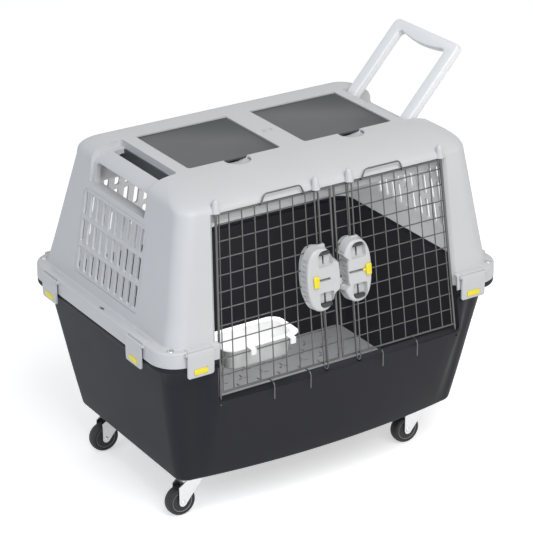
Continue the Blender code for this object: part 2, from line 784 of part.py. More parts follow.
def lid_frames():
    """The well under each lid, the frame round its rebate and the wall under its finger scoop."""
    frames = []
    for side in SIDES.values():
        x0, x1 = lid_span(side)
        top = Z_ROOF - WALL / 2
        ledge = Z_ROOF - LID_SINK - LID_THICK - FIT
        collar = box(
            "collar",
            (x0 - WALL, -LID_FRONT - WALL, ledge - WALL),
            (x1 + WALL, LID_REAR + WALL, top),
        )
        inset = WELL_LEDGE - WALL
        well = box(
            "well",
            (x0 + inset, -LID_FRONT + inset, Z_ROOF - WELL_DEPTH - WALL),
            (x1 - inset, LID_REAR + WALL, ledge - WALL / 2),
        )
        centre = (side * (LID_INNER + LID_OUTER) / 2, -LID_FRONT, Z_ROOF - SCOOP_DEPTH - WALL)
        scoop = turned("scoop", centre, (0, 0, 1), ((0, SCOOP_RADIUS), (0.01, SCOOP_RADIUS + WALL)), 16)
        frames.append(combine(collar, "UNION", well, scoop))
    return gather("lid_frames", frames)


def lid_pockets():
    """Cuts for each lid's rebate, its well, its finger scoop and its hinge pins."""
    pockets = []
    for side in SIDES.values():
        x0, x1 = lid_span(side)
        ledge = Z_ROOF - LID_SINK - LID_THICK - FIT
        rebate = box("rebate", (x0, -LID_FRONT, ledge), (x1, LID_REAR, Z_ROOF + 0.01))
        well = box(
            "well",
            (x0 + WELL_LEDGE, -LID_FRONT + WELL_LEDGE, Z_ROOF - WELL_DEPTH),
            (x1 - WELL_LEDGE, LID_REAR, ledge + 0.001),
        )
        centre = Vector((side * (LID_INNER + LID_OUTER) / 2, -LID_FRONT - 0.001, Z_ROOF + 0.0005))
        rings = []
        for step in range(5):
            angle = math.radians(90 * step / 4.4)
            low = centre - Vector((0, 0, SCOOP_DEPTH * math.sin(angle)))
            rings.append(circle(low, (0, 0, 1), SCOOP_RADIUS * math.cos(angle), 16))
        scoop = loft("scoop", rings)
        pin_y, pin_z = lid_hinge()
        pin = rod("pin", (x0 - 0.0025, pin_y, pin_z), (x1 + 0.0025, pin_y, pin_z), LID_PIN + 0.0005, 8)
        swing = math.hypot(LID_HINGE_INSET - LID_REAR_GAP, LID_THICK / 2) + SLIP
        trough = box("trough", (x0, pin_y - swing, pin_z - swing), (x1, LID_REAR, Z_ROOF))
        pockets.append(combine(rebate, "UNION", well, scoop, pin, trough))
    return gather("lid_pockets", pockets)


def lid_hinge():
    """(Y, Z) of the lids' hinge line."""
    return LID_REAR - LID_HINGE_INSET, Z_ROOF - LID_SINK - LID_THICK / 2


def grip_limits(grow):
    """Corners of the grip recess's box, grown by a wall on its closed sides."""
    low = (-SKIRT_X, -GRIP_HALF - grow, Z_ROOF - GRIP_FOOT - grow)
    high = (-GRIP_INNER + grow, GRIP_HALF + grow, Z_ROOF + 0.03)
    return low, high


def shifted_form(extra):
    """The outer form moved in and down to the grip's surface, or further by the extra."""
    form = outer_solid("form")
    form.data.transform(Matrix.Translation((GRIP_IN + extra, 0, -GRIP_DOWN - extra)))
    return form


def grip_block():
    """Material round the grip recess, hollowed from below so that the bar is a curved strip."""
    block = box("grip_block", *grip_limits(WALL))
    combine(block, "INTERSECT", inner_form(WALL / 2))
    low, high = grip_limits(0)
    hollow = box("hollow", (low[0], low[1], low[2] - 0.03), (high[0] - WALL, high[1], high[2]))
    combine(hollow, "INTERSECT", shifted_form(GRIP_THICK))
    return combine(block, "DIFFERENCE", hollow)


def inner_form(inset):
    """The shell's form a little inside its outer skin, for what joins the skin from within."""
    rings = [shell_ring(Z_LEDGE, inset)]
    return loft("inner_form", rings + roof_rings(inset))


def grip_recess():
    """What the recess takes away: everything outside the lowered skin."""
    return combine(box("grip_recess", *grip_limits(0)), "DIFFERENCE", shifted_form(0))


def grip_slots():
    """The slot behind the bar and the opening below it."""
    inner = -GRIP_INNER - RUN
    slot = box(
        "slot",
        (inner - GRIP_SLOT, -GRIP_SLOT_HALF, Z_ROOF - 0.08),
        (inner, GRIP_SLOT_HALF, Z_ROOF + 0.01),
    )
    foot = Z_ROOF - GRIP_FOOT + 0.0005
    opening = box(
        "opening",
        (-SKIRT_X, -GRIP_HALF + 0.008, foot),
        (-GRIP_INNER - GRIP_SLOT / 2, GRIP_HALF - 0.008, Z_ROOF - GRIP_OPENING_TOP),
    )
    return combine(slot, "UNION", opening)


def bail_pivot():
    return Vector((BAIL_PIVOT_X, 0, Z_ROOF - BAIL_PIVOT_DROP))


def bail_floor(drop):
    """Two (X, Z) points of the recess's sloping floor, lowered by the drop."""
    slope = math.tan(math.radians(BAIL_FOLD))
    pivot = bail_pivot()
    start = pivot.z - BAIL_SEAT / math.cos(math.radians(BAIL_FOLD)) - drop
    ends = BAIL_RECESS_INNER, SKIRT_X
    return [(x, start + (x - pivot.x) * slope) for x in ends]


def bail_prism(name, drop, grow):
    """The recess's section pushed along Y, grown by a wall on its closed sides."""
    (x0, z0), (x1, z1) = bail_floor(drop)
    top = Z_ROOF + 0.03
    half = BAIL_RECESS_HALF + grow
    points = ((x0 - grow, z0), (x1, z1), (x1, top), (x0 - grow, top))
    return prism(name, [Vector((x, -half, z)) for x, z in points], (0, 2 * half, 0))


def bail_block():
    return combine(bail_prism("bail_block", WALL, WALL), "INTERSECT", inner_form(WALL / 2))


def bail_recess():
    return bail_prism("bail_recess", 0, 0)


def bail_bosses():
    bosses = []
    for side in SIDES.values():
        inner = Vector((BAIL_PIVOT_X, side * (BAIL_RECESS_HALF + WALL / 2), bail_pivot().z))
        bosses.append(rod("boss", inner, inner + Vector((0, side * 0.009, 0)), 0.0085, 12))
    return gather("bosses", bosses)


def pin_bores():
    bores = []
    for side in SIDES.values():
        start = Vector((BAIL_PIVOT_X, side * (BAIL_RECESS_HALF - 0.002), bail_pivot().z))
        bores.append(rod("bore", start, start + Vector((0, side * 0.0085, 0)), BAIL_PIN + 0.0005, 12))
    return gather("pin_bores", bores)


def wall_frames():
    """(origin, along, up, outwards) of each wall that carries a vent grille."""
    frames = {}
    for name, side in SIDES.items():
        up = Vector((-side * END_LEAN, 0, 1)).normalized()
        out = Vector((side, 0, END_LEAN)).normalized()
        foot = Vector((side * FOOT_X, 0, Z_LEDGE))
        frames["vent_grille_" + name] = (foot + up * VENT_FOOT, Vector((0, side, 0)), up, out)
        up = Vector((0, -REAR_LEAN, 1)).normalized()
        out = Vector((0, 1, REAR_LEAN)).normalized()
        foot = Vector((side * REAR_VENT_X, FOOT_REAR, Z_LEDGE))
        frames["vent_grille_rear_" + name] = (foot + up * VENT_FOOT, Vector((-1, 0, 0)), up, out)
    return frames


def vent_outline(grow):
    half = VENT_COLUMNS * VENT_PITCH / 2 - (VENT_PITCH - SLOT_WIDTH) / 2 + VENT_BORDER + grow
    high = (VENT_ROWS - 1) * VENT_ROW_PITCH + SLOT_LENGTH + 2 * VENT_BORDER + grow
    return rounded_outline(half, -grow, high, 0.008 + grow, VENT_CORNER + grow, 3)


def vent_windows():
    windows = []
    for origin, along, up, out in wall_frames().values():
        outline = [origin + along * u + up * v - out * 0.02 for u, v in vent_outline(FIT)]
        windows.append(prism("window", outline, out * 0.04))
    return gather("windows", windows)


def make_grilles():
    grilles = []
    wall = WALL * math.cos(math.atan(END_LEAN))
    for name, (origin, along, up, out) in wall_frames().items():
        depths = (0, vent_outline(0)), (-wall - FIT, vent_outline(0))
        lips = (-wall - FIT, vent_outline(VENT_LIP)), (-wall - FIT - VENT_LIP_THICK, vent_outline(VENT_LIP))
        rings = []
        for depth, outline in depths + lips:
            rings.append([origin + along * u + up * v + out * depth for u, v in outline])
        grille = loft(name, rings, "shell")
        slots = []
        for column in range(VENT_COLUMNS):
            u = (column - (VENT_COLUMNS - 1) / 2) * VENT_PITCH
            for row in range(VENT_ROWS):
                v = VENT_BORDER + row * VENT_ROW_PITCH
                outline = rounded_outline(SLOT_WIDTH / 2, v, v + SLOT_LENGTH, 0, 0)
                low = [origin + along * (u + a) + up * b - out * 0.01 for a, b in outline]
                slots.append(prism("slot", low, out * 0.02))
        combine(grille, "DIFFERENCE", gather("slots", slots))
        grilles.append(grille)
    return grilles


def ledge_screw_holes():
    holes = []
    for x, y in screw_places().values():
        holes.append(rod("hole", (x, y, Z_LEDGE - 0.01), (x, y, Z_LEDGE + 0.01), SCREW_SHAFT + FIT, 8))
    return gather("ledge_holes", holes)


def make_screws():
    screws = []
    for name, (x, y) in screw_places().items():
        seat = Z_LEDGE + FIT
        profile = (
            (0, SCREW_SHAFT),
            (seat - Z_RIM + 0.012, SCREW_SHAFT),
            (seat - Z_RIM + 0.012, SCREW_HEAD),
            (seat - Z_RIM + 0.0135, SCREW_HEAD),
            (seat - Z_RIM + 0.0145, SCREW_HEAD * 0.6),
        )
        foot = (x, y, Z_RIM - 0.012)
        screws.append(smooth(turned("corner_screw_" + name, foot, (0, 0, 1), profile, 8, "zinc")))
    return screws


# Waist latches
def flap_frames():
    """(point on the skirt at the hinge's height, along, outwards) of each latch."""
    z = Z_LEDGE - 0.0044
    frames = {}
    for name, side in SIDES.items():
        for face, way in (("front", -1), ("rear", 1)):
            frames[f"{face}_{name}"] = (Vector((side * FLAP_FRONT_X, way * SKIRT_Y, z)), Vector((-way, 0, 0)))
            frames[f"{name}_{face}"] = (Vector((side * SKIRT_X, way * FLAP_END_Y, z)), Vector((0, side, 0)))
    return {name: (point, along, along.cross(Vector((0, 0, 1)))) for name, (point, along) in frames.items()}


def flap_pivot(point, out):
    return point + out * (FLAP_BARREL + 0.0008)


def latch_ears():
    """Two ears on the skirt for each latch's barrel."""
    ears = []
    for point, along, out in flap_frames().values():
        for end in (-1, 1):
            inner = FLAP_WIDTH / 2 + FIT
            u0, u1 = end * inner, end * (inner + EAR)
            rings = []
            for u in (u0, u1):
                pivot = flap_pivot(point, out) + along * u
                ring = [point + along * u - out * WALL / 2 - Vector((0, 0, 0.0045))]
                for step in range(5):
                    angle = math.radians(-90 + 180 * step / 4)
                    way = out * math.cos(angle) + Vector((0, 0, math.sin(angle)))
                    ring.append(pivot + way * FLAP_BARREL)
                ring.append(point + along * u - out * WALL / 2 + Vector((0, 0, 0.0030)))
                rings.append(ring)
            ears.append(loft("ear", rings))
    return gather("ears", ears)


def make_latches():
    latches = []
    for name, (point, along, out) in flap_frames().items():
        pivot = flap_pivot(point, out)
        foot = Z_LEDGE - 0.0044 + FLAP_BARREL - FLAP_HEIGHT
        profile = [
            (FLAP_INNER, foot),
            (FLAP_OUTER - 0.0012, foot),
            (FLAP_OUTER, foot + 0.002),
            (FLAP_OUTER + 0.0006, lerp(foot, pivot.z, 0.5)),
        ]
        barrel = flap_pivot(point, out) - point
        reach = barrel.dot(out)
        for step in range(7):
            angle = math.radians(10 + 200 * step / 6)
            profile.append((reach + FLAP_BARREL * math.cos(angle), pivot.z + FLAP_BARREL * math.sin(angle)))
        profile.append((FLAP_INNER, pivot.z - FLAP_BARREL - 0.002))
        flap = latch_prism("latch_flap_" + name, point, along, out, profile, FLAP_WIDTH, "shell")
        lip_top = Z_BEAD - RUN
        lip = (
            (FLAP_INNER + 0.001, lip_top),
            (-BEAD_INSET, lip_top),
            (-BEAD_INSET, lip_top - 0.0024),
            (FLAP_INNER + 0.001, lip_top - 0.0050),
        )
        combine(flap, "UNION", latch_prism("lip", point, along, out, lip, FLAP_LIP_WIDTH))
        low = foot + 0.006
        pocket = latch_bar("pocket", point, along, out, low, FLAP_OUTER - INSERT_SINK, 0.02, FIT)
        combine(flap, "DIFFERENCE", pocket)
        seat = FLAP_OUTER - INSERT_SINK + FIT
        insert = latch_bar("latch_insert_" + name, point, along, out, low, seat, seat + 0.0024, 0, "yellow")
        latches.append((hang_on(flap, pivot), insert))
    return latches


def latch_prism(name, point, along, out, profile, width, finish=None):
    """A latch's section, as (distance from the skirt, height) pairs, pushed along its hinge."""
    start = point - along * (width / 2)
    outline = [start + out * reach + Vector((0, 0, z - point.z)) for reach, z in profile]
    return prism(name, outline, along * width, finish)


def latch_bar(name, point, along, out, low, back, front, grow, finish=None):
    """A rounded bar low on a latch, between two distances from the skirt."""
    high = low + INSERT_HEIGHT + grow
    outline = rounded_outline(INSERT_WIDTH / 2 + grow, low - grow, high, 0.003, 0.003, 1)
    points = [point + along * u + out * back + Vector((0, 0, v - point.z)) for u, v in outline]
    return prism(name, points, out * (front - back), finish)


# Roof fittings
def make_lids():
    lids = {}
    for name, side in SIDES.items():
        x0, x1 = lid_span(side)
        gap = 0.0005
        low = Z_ROOF - LID_SINK - LID_THICK
        rear = LID_REAR - LID_REAR_GAP
        lid = box("lid_" + name, (x0 + gap, -LID_FRONT + gap, low), (x1 - gap, rear, low + LID_THICK), "lid")
        y, z = lid_hinge()
        pins = rod("pins", (x0 - 0.002, y, z), (x1 + 0.002, y, z), LID_PIN, 8)
        combine(lid, "UNION", pins)
        lids[name] = hang_on(lid, ((x0 + x1) / 2, y, z))
    return lids


def make_bail():
    """The tow bail, drawn flat as (across, along) and then raised about its pivot."""
    outer = BAIL_SPREAD + BAIL_WIDTH / 2
    inner = BAIL_SPREAD - BAIL_WIDTH / 2
    foot, bar, corner, fillet = -0.003, BAIL_LENGTH - BAIL_BAR, 0.012, 0.006
    points = [(-outer, foot), (-inner, foot), (-inner, bar - fillet), (-inner + fillet, bar)]
    for step in range(1, 4):
        across = lerp(fillet - inner, inner - fillet, step / 4)
        points.append((across, bar - (BAIL_BAR_MIDDLE - BAIL_BAR) * (1 - (across / inner) ** 2)))
    points += [(inner - fillet, bar), (inner, bar - fillet), (inner, foot), (outer, foot)]
    points += [(outer, BAIL_LENGTH - corner), (outer - corner * 0.3, BAIL_LENGTH - corner * 0.3)]
    points += [(outer - corner, BAIL_LENGTH), (-outer + corner, BAIL_LENGTH)]
    points += [(-outer + corner * 0.3, BAIL_LENGTH - corner * 0.3), (-outer, BAIL_LENGTH - corner)]
    angle = math.radians(BAIL_ANGLE)
    along = Vector((math.cos(angle), 0, math.sin(angle)))
    square = Vector((-math.sin(angle), 0, math.cos(angle)))
    pivot = bail_pivot()
    low = [pivot + Vector((0, u, 0)) + along * v - square * BAIL_THICK / 2 for u, v in points]
    bail = prism("tow_handle", low, square * BAIL_THICK, "bail")
    knuckles, pins = [], []
    for side in SIDES.values():
        near, far = pivot + Vector((0, side * (inner + FIT), 0)), pivot + Vector((0, side * (outer - FIT), 0))
        knuckles.append(rod("knuckle", near, far, BAIL_KNUCKLE, 16))
        pins.append(rod("pin", near, pivot + Vector((0, side * (BAIL_RECESS_HALF + 0.005), 0)), BAIL_PIN, 12))
    combine(bail, "UNION", gather("knuckles", knuckles), gather("pins", pins))
    return hang_on(bail, pivot)


# Doors
def row_heights():
    first = Z_DOOR_TOP - FIRST_ROW
    pitch = (first - Z_DOOR_BOTTOM) / (DOOR_ROWS - 1)
    return [first - pitch * row for row in range(DOOR_ROWS - 1)]


def make_door(name, side):
    meet = DOOR_MEET
    uprights = []
    slant = Vector((-side * DOOR_FLARE, DOOR_LEAN, 1)).normalized()
    low = on_door(side * door_edge(Z_DOOR_BOTTOM), Z_DOOR_BOTTOM)
    high = on_door(side * door_edge(Z_DOOR_TOP), Z_DOOR_TOP)
    hinge = [low - slant * PIN_BOTTOM, high + slant * PIN_TOP]
    uprights.append(wire("hinge", hinge, HINGE_WIRE, 6, DOOR_OUT))
    for cell in range(1, DOOR_CELLS + 1):
        share = cell / DOOR_CELLS
        last = cell == DOOR_CELLS
        ends = []
        for z in (Z_DOOR_BOTTOM, Z_DOOR_TOP):
            ends.append(on_door(side * lerp(door_edge(z), meet, share), z))
        uprights.append(wire("upright", ends, FRAME_WIRE if last else WIRE, 4, DOOR_OUT))
    ends = []
    for z in (Z_DOOR_BOTTOM, Z_DOOR_TOP):
        ends.append(on_door(side * (door_edge(z) - 0.0065), z))
    uprights.append(wire("second", ends, WIRE, 4, DOOR_OUT))
    rows = []
    for z in (Z_DOOR_TOP, Z_DOOR_BOTTOM):
        ends = [on_door(side * door_edge(z), z), on_door(side * (meet - FRAME_WIRE * 0.6), z)]
        rows.append(wire("edge", ends, FRAME_WIRE * 0.96, 4, DOOR_OUT))
    for z in row_heights():
        ends = [on_door(side * door_edge(z), z, -LAYER), on_door(side * meet, z, -LAYER)]
        rows.append(wire("row", ends, WIRE, 4, DOOR_OUT))
    door = gather("door_grid_" + name, uprights, "wire")
    combine(door, "UNION", gather("rows", rows), gather("bends", door_bends(side)))
    return hang_on(smooth(door, 40), low)


def door_bends(side):
    """The loop over the header and the hooks over the sill."""
    bends = []
    near, far = (side * reach for reach in LOOPS)
    rise = Z_DOOR_TOP + LOOP_RISE
    slope = side * 0.008
    out = FACE + 0.0045
    loop = [
        on_door(near, Z_DOOR_TOP, 0),
        on_door(near, Z_DOOR_TOP + 0.002, out),
        on_door(near + slope * 0.3, rise - 0.006, out),
        on_door(near + slope, rise, out),
        on_door(far - slope, rise, out),
        on_door(far - slope * 0.3, rise - 0.006, out),
        on_door(far, Z_DOOR_TOP + 0.002, out),
        on_door(far, Z_DOOR_TOP, 0),
    ]
    bends.append(wire("loop", loop, WIRE, 5, (0.05, -0.2, 1)))
    for inner, outer in HOOKS:
        x = side * (inner + outer) / 2
        hook = [
            on_door(x, Z_DOOR_BOTTOM, 0),
            Vector((x, lerp(-DOOR_FOOT, -HOOK_REACH, 0.6), Z_DOOR_BOTTOM + 0.001)),
            Vector((x, -HOOK_REACH + 0.0025, Z_DOOR_BOTTOM - 0.004)),
            Vector((x, -HOOK_REACH, Z_DOOR_BOTTOM - 0.012)),
            Vector((x, -HOOK_REACH, Z_DOOR_BOTTOM - HOOK_DROP)),
        ]
        bends.append(wire("hook", hook, WIRE, 5, (1, 0, 0)))
    return bends


def make_doors():
    return {name: make_door(name, side) for name, side in SIDES.items()}


def housing_outline(side, inset, steps=24):
    """The housing's oval in the door plane. The left one's shoulder reaches into the right one's notch."""
    points = []
    for step in range(steps):
        angle = 2 * math.pi * (step + 0.5) / steps
        c, s = math.cos(angle), math.sin(angle)
        radius = (abs(c) ** HOUSING_POWER + abs(s) ** HOUSING_POWER) ** (-1 / HOUSING_POWER)
        x = (HOUSING_HALF_WIDTH - inset) * radius * c
        z = (HOUSING_HALF_HEIGHT - inset) * radius * s
        if x * side < 0 and abs(radius * s) < 0.52:
            x += SHOULDER
        points.append((side * HOUSING_X + x, Z_HOUSING + z))
    return points


def housing_part(name, side, layers, finish="housing"):
    """A housing half from (distance in front of the door plane, inset) layers."""
    rings = []
    for out, inset in layers:
        rings.append([on_door(x, z, out) for x, z in housing_outline(side, inset)])
    return loft(name, rings, finish)


def door_box(name, x0, x1, z0, z1, out0, out1, finish=None):
    """A block in the door plane's frame, between two distances in front of it."""
    corners = ((x0, z0), (x1, z0), (x1, z1), (x0, z1))
    rings = [[on_door(x, z, out) for x, z in corners] for out in (out0, out1)]
    return loft(name, rings, finish)


def make_housings(name, side):
    x = side * HOUSING_X
    rod_x = side * ROD_X
    front_face = FRAME_WIRE * 0.75 + FIT
    back_face = -LAYER - WIRE - FIT
    layers = (
        (front_face, 0),
        (HOUSING_FRONT - 0.005, 0),
        (HOUSING_FRONT - 0.0012, 0.002),
        (HOUSING_FRONT, 0.005),
    )
    front = housing_part("latch_housing_front_" + name, side, layers)
    channel = ROD_SPREAD + ROD_WIRE + SLIP
    deep = ROD_OUT + ROD_WIRE + SLIP
    low, high = Z_HOUSING - HOUSING_HALF_HEIGHT - 0.01, Z_HOUSING + HOUSING_HALF_HEIGHT + 0.01
    cuts = [door_box("channel", rod_x - channel, rod_x + channel, low, high, -0.01, deep)]
    for way in (-1, 1):
        outline = rounded_outline(WINDOW_HALF, WINDOW_IN, WINDOW_OUT, 0.003, 0.010, 3)
        rings = []
        for out in (deep - 0.001, HOUSING_FRONT + 0.011):
            rings.append([on_door(x + u, Z_HOUSING + way * v, out) for u, v in outline])
        cuts.append(loft("window", rings))
    low, high = Z_HOUSING - SLIDER_NECK - FIT, Z_HOUSING + SLIDER_NECK + FIT
    front_end = HOUSING_FRONT + 0.01
    cuts.append(door_box("slot", x - SLIDER_SLOT, x + SLIDER_SLOT, low, high, 0.012, front_end))
    bosses = []
    for way in (-1, 1):
        z = row_middle(Z_HOUSING + way * CLAMP_Z)
        boss_x = cell_middle(side, side * CLAMP_X, z)
        start = on_door(boss_x, z, front_face + 0.0012)
        end = on_door(boss_x, z, back_face + FIT + CLAMP_BOSS * DOOR_LEAN)
        bosses.append(rod("boss", start, end, CLAMP_BOSS, 8))
    combine(front, "UNION", gather("bosses", bosses))
    combine(front, "DIFFERENCE", *cuts)
    layers = ((back_face, 0), (0.004 - HOUSING_BACK, 0), (-HOUSING_BACK, 0.004))
    back = housing_part("latch_housing_back_" + name, side, layers)
    return smooth(front, 40), smooth(back, 40)


def make_rods(name, side):
    """The upper and lower rod of a door: a doubled wire that ends in a tip, with its pull plate."""
    rods = []
    x = side * ROD_X
    for end, way in (("upper", 1), ("lower", -1)):
        target = Z_HEAD if way > 0 else Z_SILL
        tip = target - way * ROD_SHORT
        inner = Z_HOUSING + way * (WINDOW_IN + ROD_TRAVEL + RUN * 2)
        path = [
            on_door(x - ROD_SPREAD, inner, ROD_OUT),
            on_door(x - ROD_SPREAD, tip - way * 0.012, ROD_OUT),
            on_door(x - 0.0004, tip - way * ROD_WIRE * 0.5, ROD_OUT),
            on_door(x + 0.0004, tip - way * ROD_WIRE * 0.5, ROD_OUT),
            on_door(x + ROD_SPREAD, tip - way * 0.012, ROD_OUT),
            on_door(x + ROD_SPREAD, inner, ROD_OUT),
        ]
        bar = wire(f"rod_{end}_{name}", path, ROD_WIRE, 5, DOOR_OUT, "wire")
        z0, z1 = sorted((inner - way * 0.001, inner + way * 0.016))
        spread = ROD_SPREAD + ROD_WIRE * 0.8
        stem = door_box("stem", x - spread, x + spread, z0, z1, ROD_OUT - ROD_WIRE * 0.7, 0.014)
        centre = side * HOUSING_X
        z0, z1 = sorted((inner + way * 0.010, inner + way * 0.018))
        half = WINDOW_HALF - 0.0015
        head = door_box("head", centre - half, centre + half, z0, z1, 0.008, HOUSING_FRONT - 0.002)
        rods.append(combine(bar, "UNION", combine(stem, "UNION", head)))
    return rods


def make_slider(name, side):
    """The lock slider: a neck in the slot and a knob on the housing's face."""
    width, height = SLIDER_SIZE
    x = side * (HOUSING_X + SLIDER_SLOT - width / 2 - RUN)
    low, high = Z_HOUSING - SLIDER_NECK, Z_HOUSING + SLIDER_NECK
    neck = door_box("neck", x - 0.004, x + 0.004, low, high, 0.013, HOUSING_FRONT + 0.002)
    knob = door_box(
        "lock_slider_" + name,
        x - width / 2,
        x + width / 2,
        Z_HOUSING - height / 2,
        Z_HOUSING + height / 2,
        HOUSING_FRONT + FIT,
        HOUSING_FRONT + 0.005,
        "yellow",
    )
    return combine(knob, "UNION", neck)


def make_bowl():
    """A tapered bowl with a flange and two tabs that hang over a row of the left door."""
    def ring(z, inset, corner):
        points = []
        for u, v in rounded_outline(BOWL_LENGTH / 2 - inset, inset, BOWL_DEPTH - inset, corner, corner, 3):
            points.append(Vector((BOWL_X + u, v - BOWL_FRONT, z)))
        return points

    row = row_heights()[BOWL_ROW]
    rim = row + WIRE
    foot = rim - BOWL_HEIGHT
    rings = [
        ring(foot, 0.022, 0.016),
        ring(foot + 0.006, 0.016, 0.020),
        ring(rim - 0.0025, BOWL_FLANGE, 0.022),
        ring(rim - 0.0025, 0, 0.024),
        ring(rim, 0, 0.024),
        ring(rim, BOWL_FLANGE + 0.0022, 0.020),
        ring(foot + 0.008, 0.0185, 0.018),
        ring(foot + 0.0025, 0.025, 0.014),
    ]
    bowl = loft("food_bowl", rings, "bowl")
    tabs = []
    for u in (-0.042, 0.042):
        x = cell_middle(-1, BOWL_X + u, row)
        back = -BOWL_FRONT + 0.004
        wire_y = door_y(row) + LAYER
        seat = row + WIRE + FIT
        profile = (
            (back, rim - 0.0015),
            (back, seat + 0.003),
            (wire_y - WIRE - 0.0035, seat + 0.003),
            (wire_y - WIRE - 0.0035, row - 0.008),
            (wire_y - WIRE - 0.0012, row - 0.008),
            (wire_y - WIRE - 0.0012, seat),
            (wire_y + WIRE + 0.003, seat),
            (wire_y + WIRE + 0.003, rim - 0.0015),
        )
        outline = [Vector((x - 0.006, y, z)) for y, z in profile]
        tabs.append(prism("tab", outline, (0.012, 0, 0)))
    combine(bowl, "UNION", gather("tabs", tabs))
    return smooth(bowl, 30)


def cell_middle(side, x, z):
    """The middle of the door's cell that holds this X at a height."""
    edge = side * door_edge(z)
    width = (side * DOOR_MEET - edge) / DOOR_CELLS
    cell = math.floor((x - edge) / width)
    return edge + (cell + 0.5) * width


def row_middle(z):
    """The height midway between two rows that is nearest to this one."""
    rows = row_heights()
    return min(((low + high) / 2 for low, high in zip(rows, rows[1:])), key=lambda middle: abs(middle - z))


# Casters
def make_caster(name, x, y):
    top = PAD_HEIGHT - FIT
    outline = rounded_outline(0.0235, -0.0200, 0.0200, 0.006, 0.006, 2)
    plate = prism(
        "caster_mount_" + name,
        [Vector((x + u, y + v, top - 0.0035)) for u, v in outline],
        (0, 0, 0.0035),
        "black",
    )
    profile = ((0, 0.0145), (0.003, 0.0155), (0.010, 0.0155))
    collar = turned("collar", (x, y, top - 0.0125), (0, 0, 1), profile, 14)
    stud_hole = rod("stud_hole", (x, y, top - 0.02), (x, y, top - 0.0045), 0.0045, 10)
    lug = box("lug", (x - 0.0260, y - 0.0035, top - 0.0115), (x - 0.0140, y + 0.0035, top - 0.0065))
    mount = combine(plate, "UNION", collar, lug)
    combine(mount, "DIFFERENCE", stud_hole)
    fork_top = top - 0.0125 - FIT
    swivel = (x, y, fork_top)
    fork = make_fork(name, x, y, fork_top)
    centre = Vector((x - CASTER_TRAIL, y, WHEEL_RADIUS))
    wheel = make_wheel(name, centre)
    axle_half = WHEEL_WIDTH / 2 + RUN + CHEEK
    profile = ((-axle_half - 0.0023, 0.0042), (-axle_half - FIT, 0.0042), (-axle_half - FIT, AXLE_RADIUS))
    profile += ((axle_half + FIT, AXLE_RADIUS), (axle_half + FIT, 0.0042), (axle_half + 0.0023, 0.0042))
    axle = turned("caster_axle_" + name, centre, (0, 1, 0), profile, 10, "zinc")
    hang_on(fork, swivel)
    return smooth(mount), fork, hang_on(wheel, centre), smooth(axle)


def make_fork(name, x, y, top):
    """A top plate with a stud, and two cheeks that lean back to the axle."""
    half = WHEEL_WIDTH / 2 + RUN
    axle_x, axle_z = x - CASTER_TRAIL, WHEEL_RADIUS
    cheeks = []
    for side in (-1, 1):
        outline = [(x + 0.0150, top), (x + 0.0150, top - 0.008)]
        for step in range(5):
            angle = math.radians(-25 - 155 * step / 4)
            outline.append((axle_x + 0.0085 * math.cos(angle), axle_z + 0.0085 * math.sin(angle)))
        outline.append((axle_x - 0.0085, top - 0.016))
        outline.append((x - 0.0160, top))
        low = [Vector((px, y + side * half, pz)) for px, pz in outline]
        cheeks.append(prism("cheek", low, (0, side * CHEEK, 0)))
    wide = half + CHEEK / 2
    crown = box("crown", (x - 0.0158, y - wide, top - 0.0030), (x + 0.0148, y + wide, top - 0.0002))
    stud = rod("stud", (x, y, top - 0.001), (x, y, top + 0.0070), 0.0040, 10)
    fork = gather("caster_fork_" + name, cheeks, "zinc")
    combine(fork, "UNION", crown, stud)
    hole = rod("hole", (axle_x, y - 0.03, axle_z), (axle_x, y + 0.03, axle_z), AXLE_RADIUS + FIT, 10)
    return combine(fork, "DIFFERENCE", hole)


def make_wheel(name, centre):
    half = WHEEL_WIDTH / 2
    profile = (
        (-half + 0.0020, 0.0060),
        (-half + 0.0020, 0.0215),
        (-half, 0.0235),
        (-half + 0.0015, WHEEL_RADIUS - 0.0030),
        (-half * 0.5, WHEEL_RADIUS),
    )
    mirrored = tuple((-reach, radius) for reach, radius in reversed(profile))
    wheel = turned("caster_wheel_" + name, centre, (0, 1, 0), profile + mirrored, 18, "tyre")
    bore = rod("bore", centre - Vector((0, 0.02, 0)), centre + Vector((0, 0.02, 0)), AXLE_RADIUS + FIT, 10)
    combine(wheel, "DIFFERENCE", bore)
    return smooth(wheel)


def main():
    clear_scene()
    crate = bpy.data.objects.new("crate", None)
    bpy.context.scene.collection.objects.link(crate)
    tub, shell = make_tub(), make_shell()
    fixed = [tub, shell, make_floor_panel(), make_header_trim(), *make_grilles(), *make_screws()]
    for obj in fixed:
        attach(obj, crate)
    for obj in (*make_lids().values(), make_bail()):
        attach(obj, shell)
    for flap, insert in make_latches():
        attach(flap, shell)
        attach(insert, flap)
    doors = make_doors()
    for name, side in SIDES.items():
        attach(doors[name], shell)
        for obj in (*make_housings(name, side), *make_rods(name, side), make_slider(name, side)):
            attach(obj, doors[name])
    attach(make_bowl(), doors["left"])
    for name, x in (("left", -CASTER_X), ("right", CASTER_X)):
        for face, y in (("front", -CASTER_Y), ("rear", CASTER_Y)):
            mount, fork, wheel, axle = make_caster(f"{face}_{name}", x, y)
            attach(mount, tub)
            attach(fork, mount)
            attach(wheel, fork)
            attach(axle, fork)


main()
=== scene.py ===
"""Studio scene of a pet travel crate: a dark tub and a light upper shell latched together round the waist, two
wire doors with push-rod latches, roof lids, a tow handle and four swivel casters. Metres, +Z up, front to -Y."""

import logging
import math
from dataclasses import dataclass, field
from enum import Enum
from typing import Iterable, Sequence, TypeVar

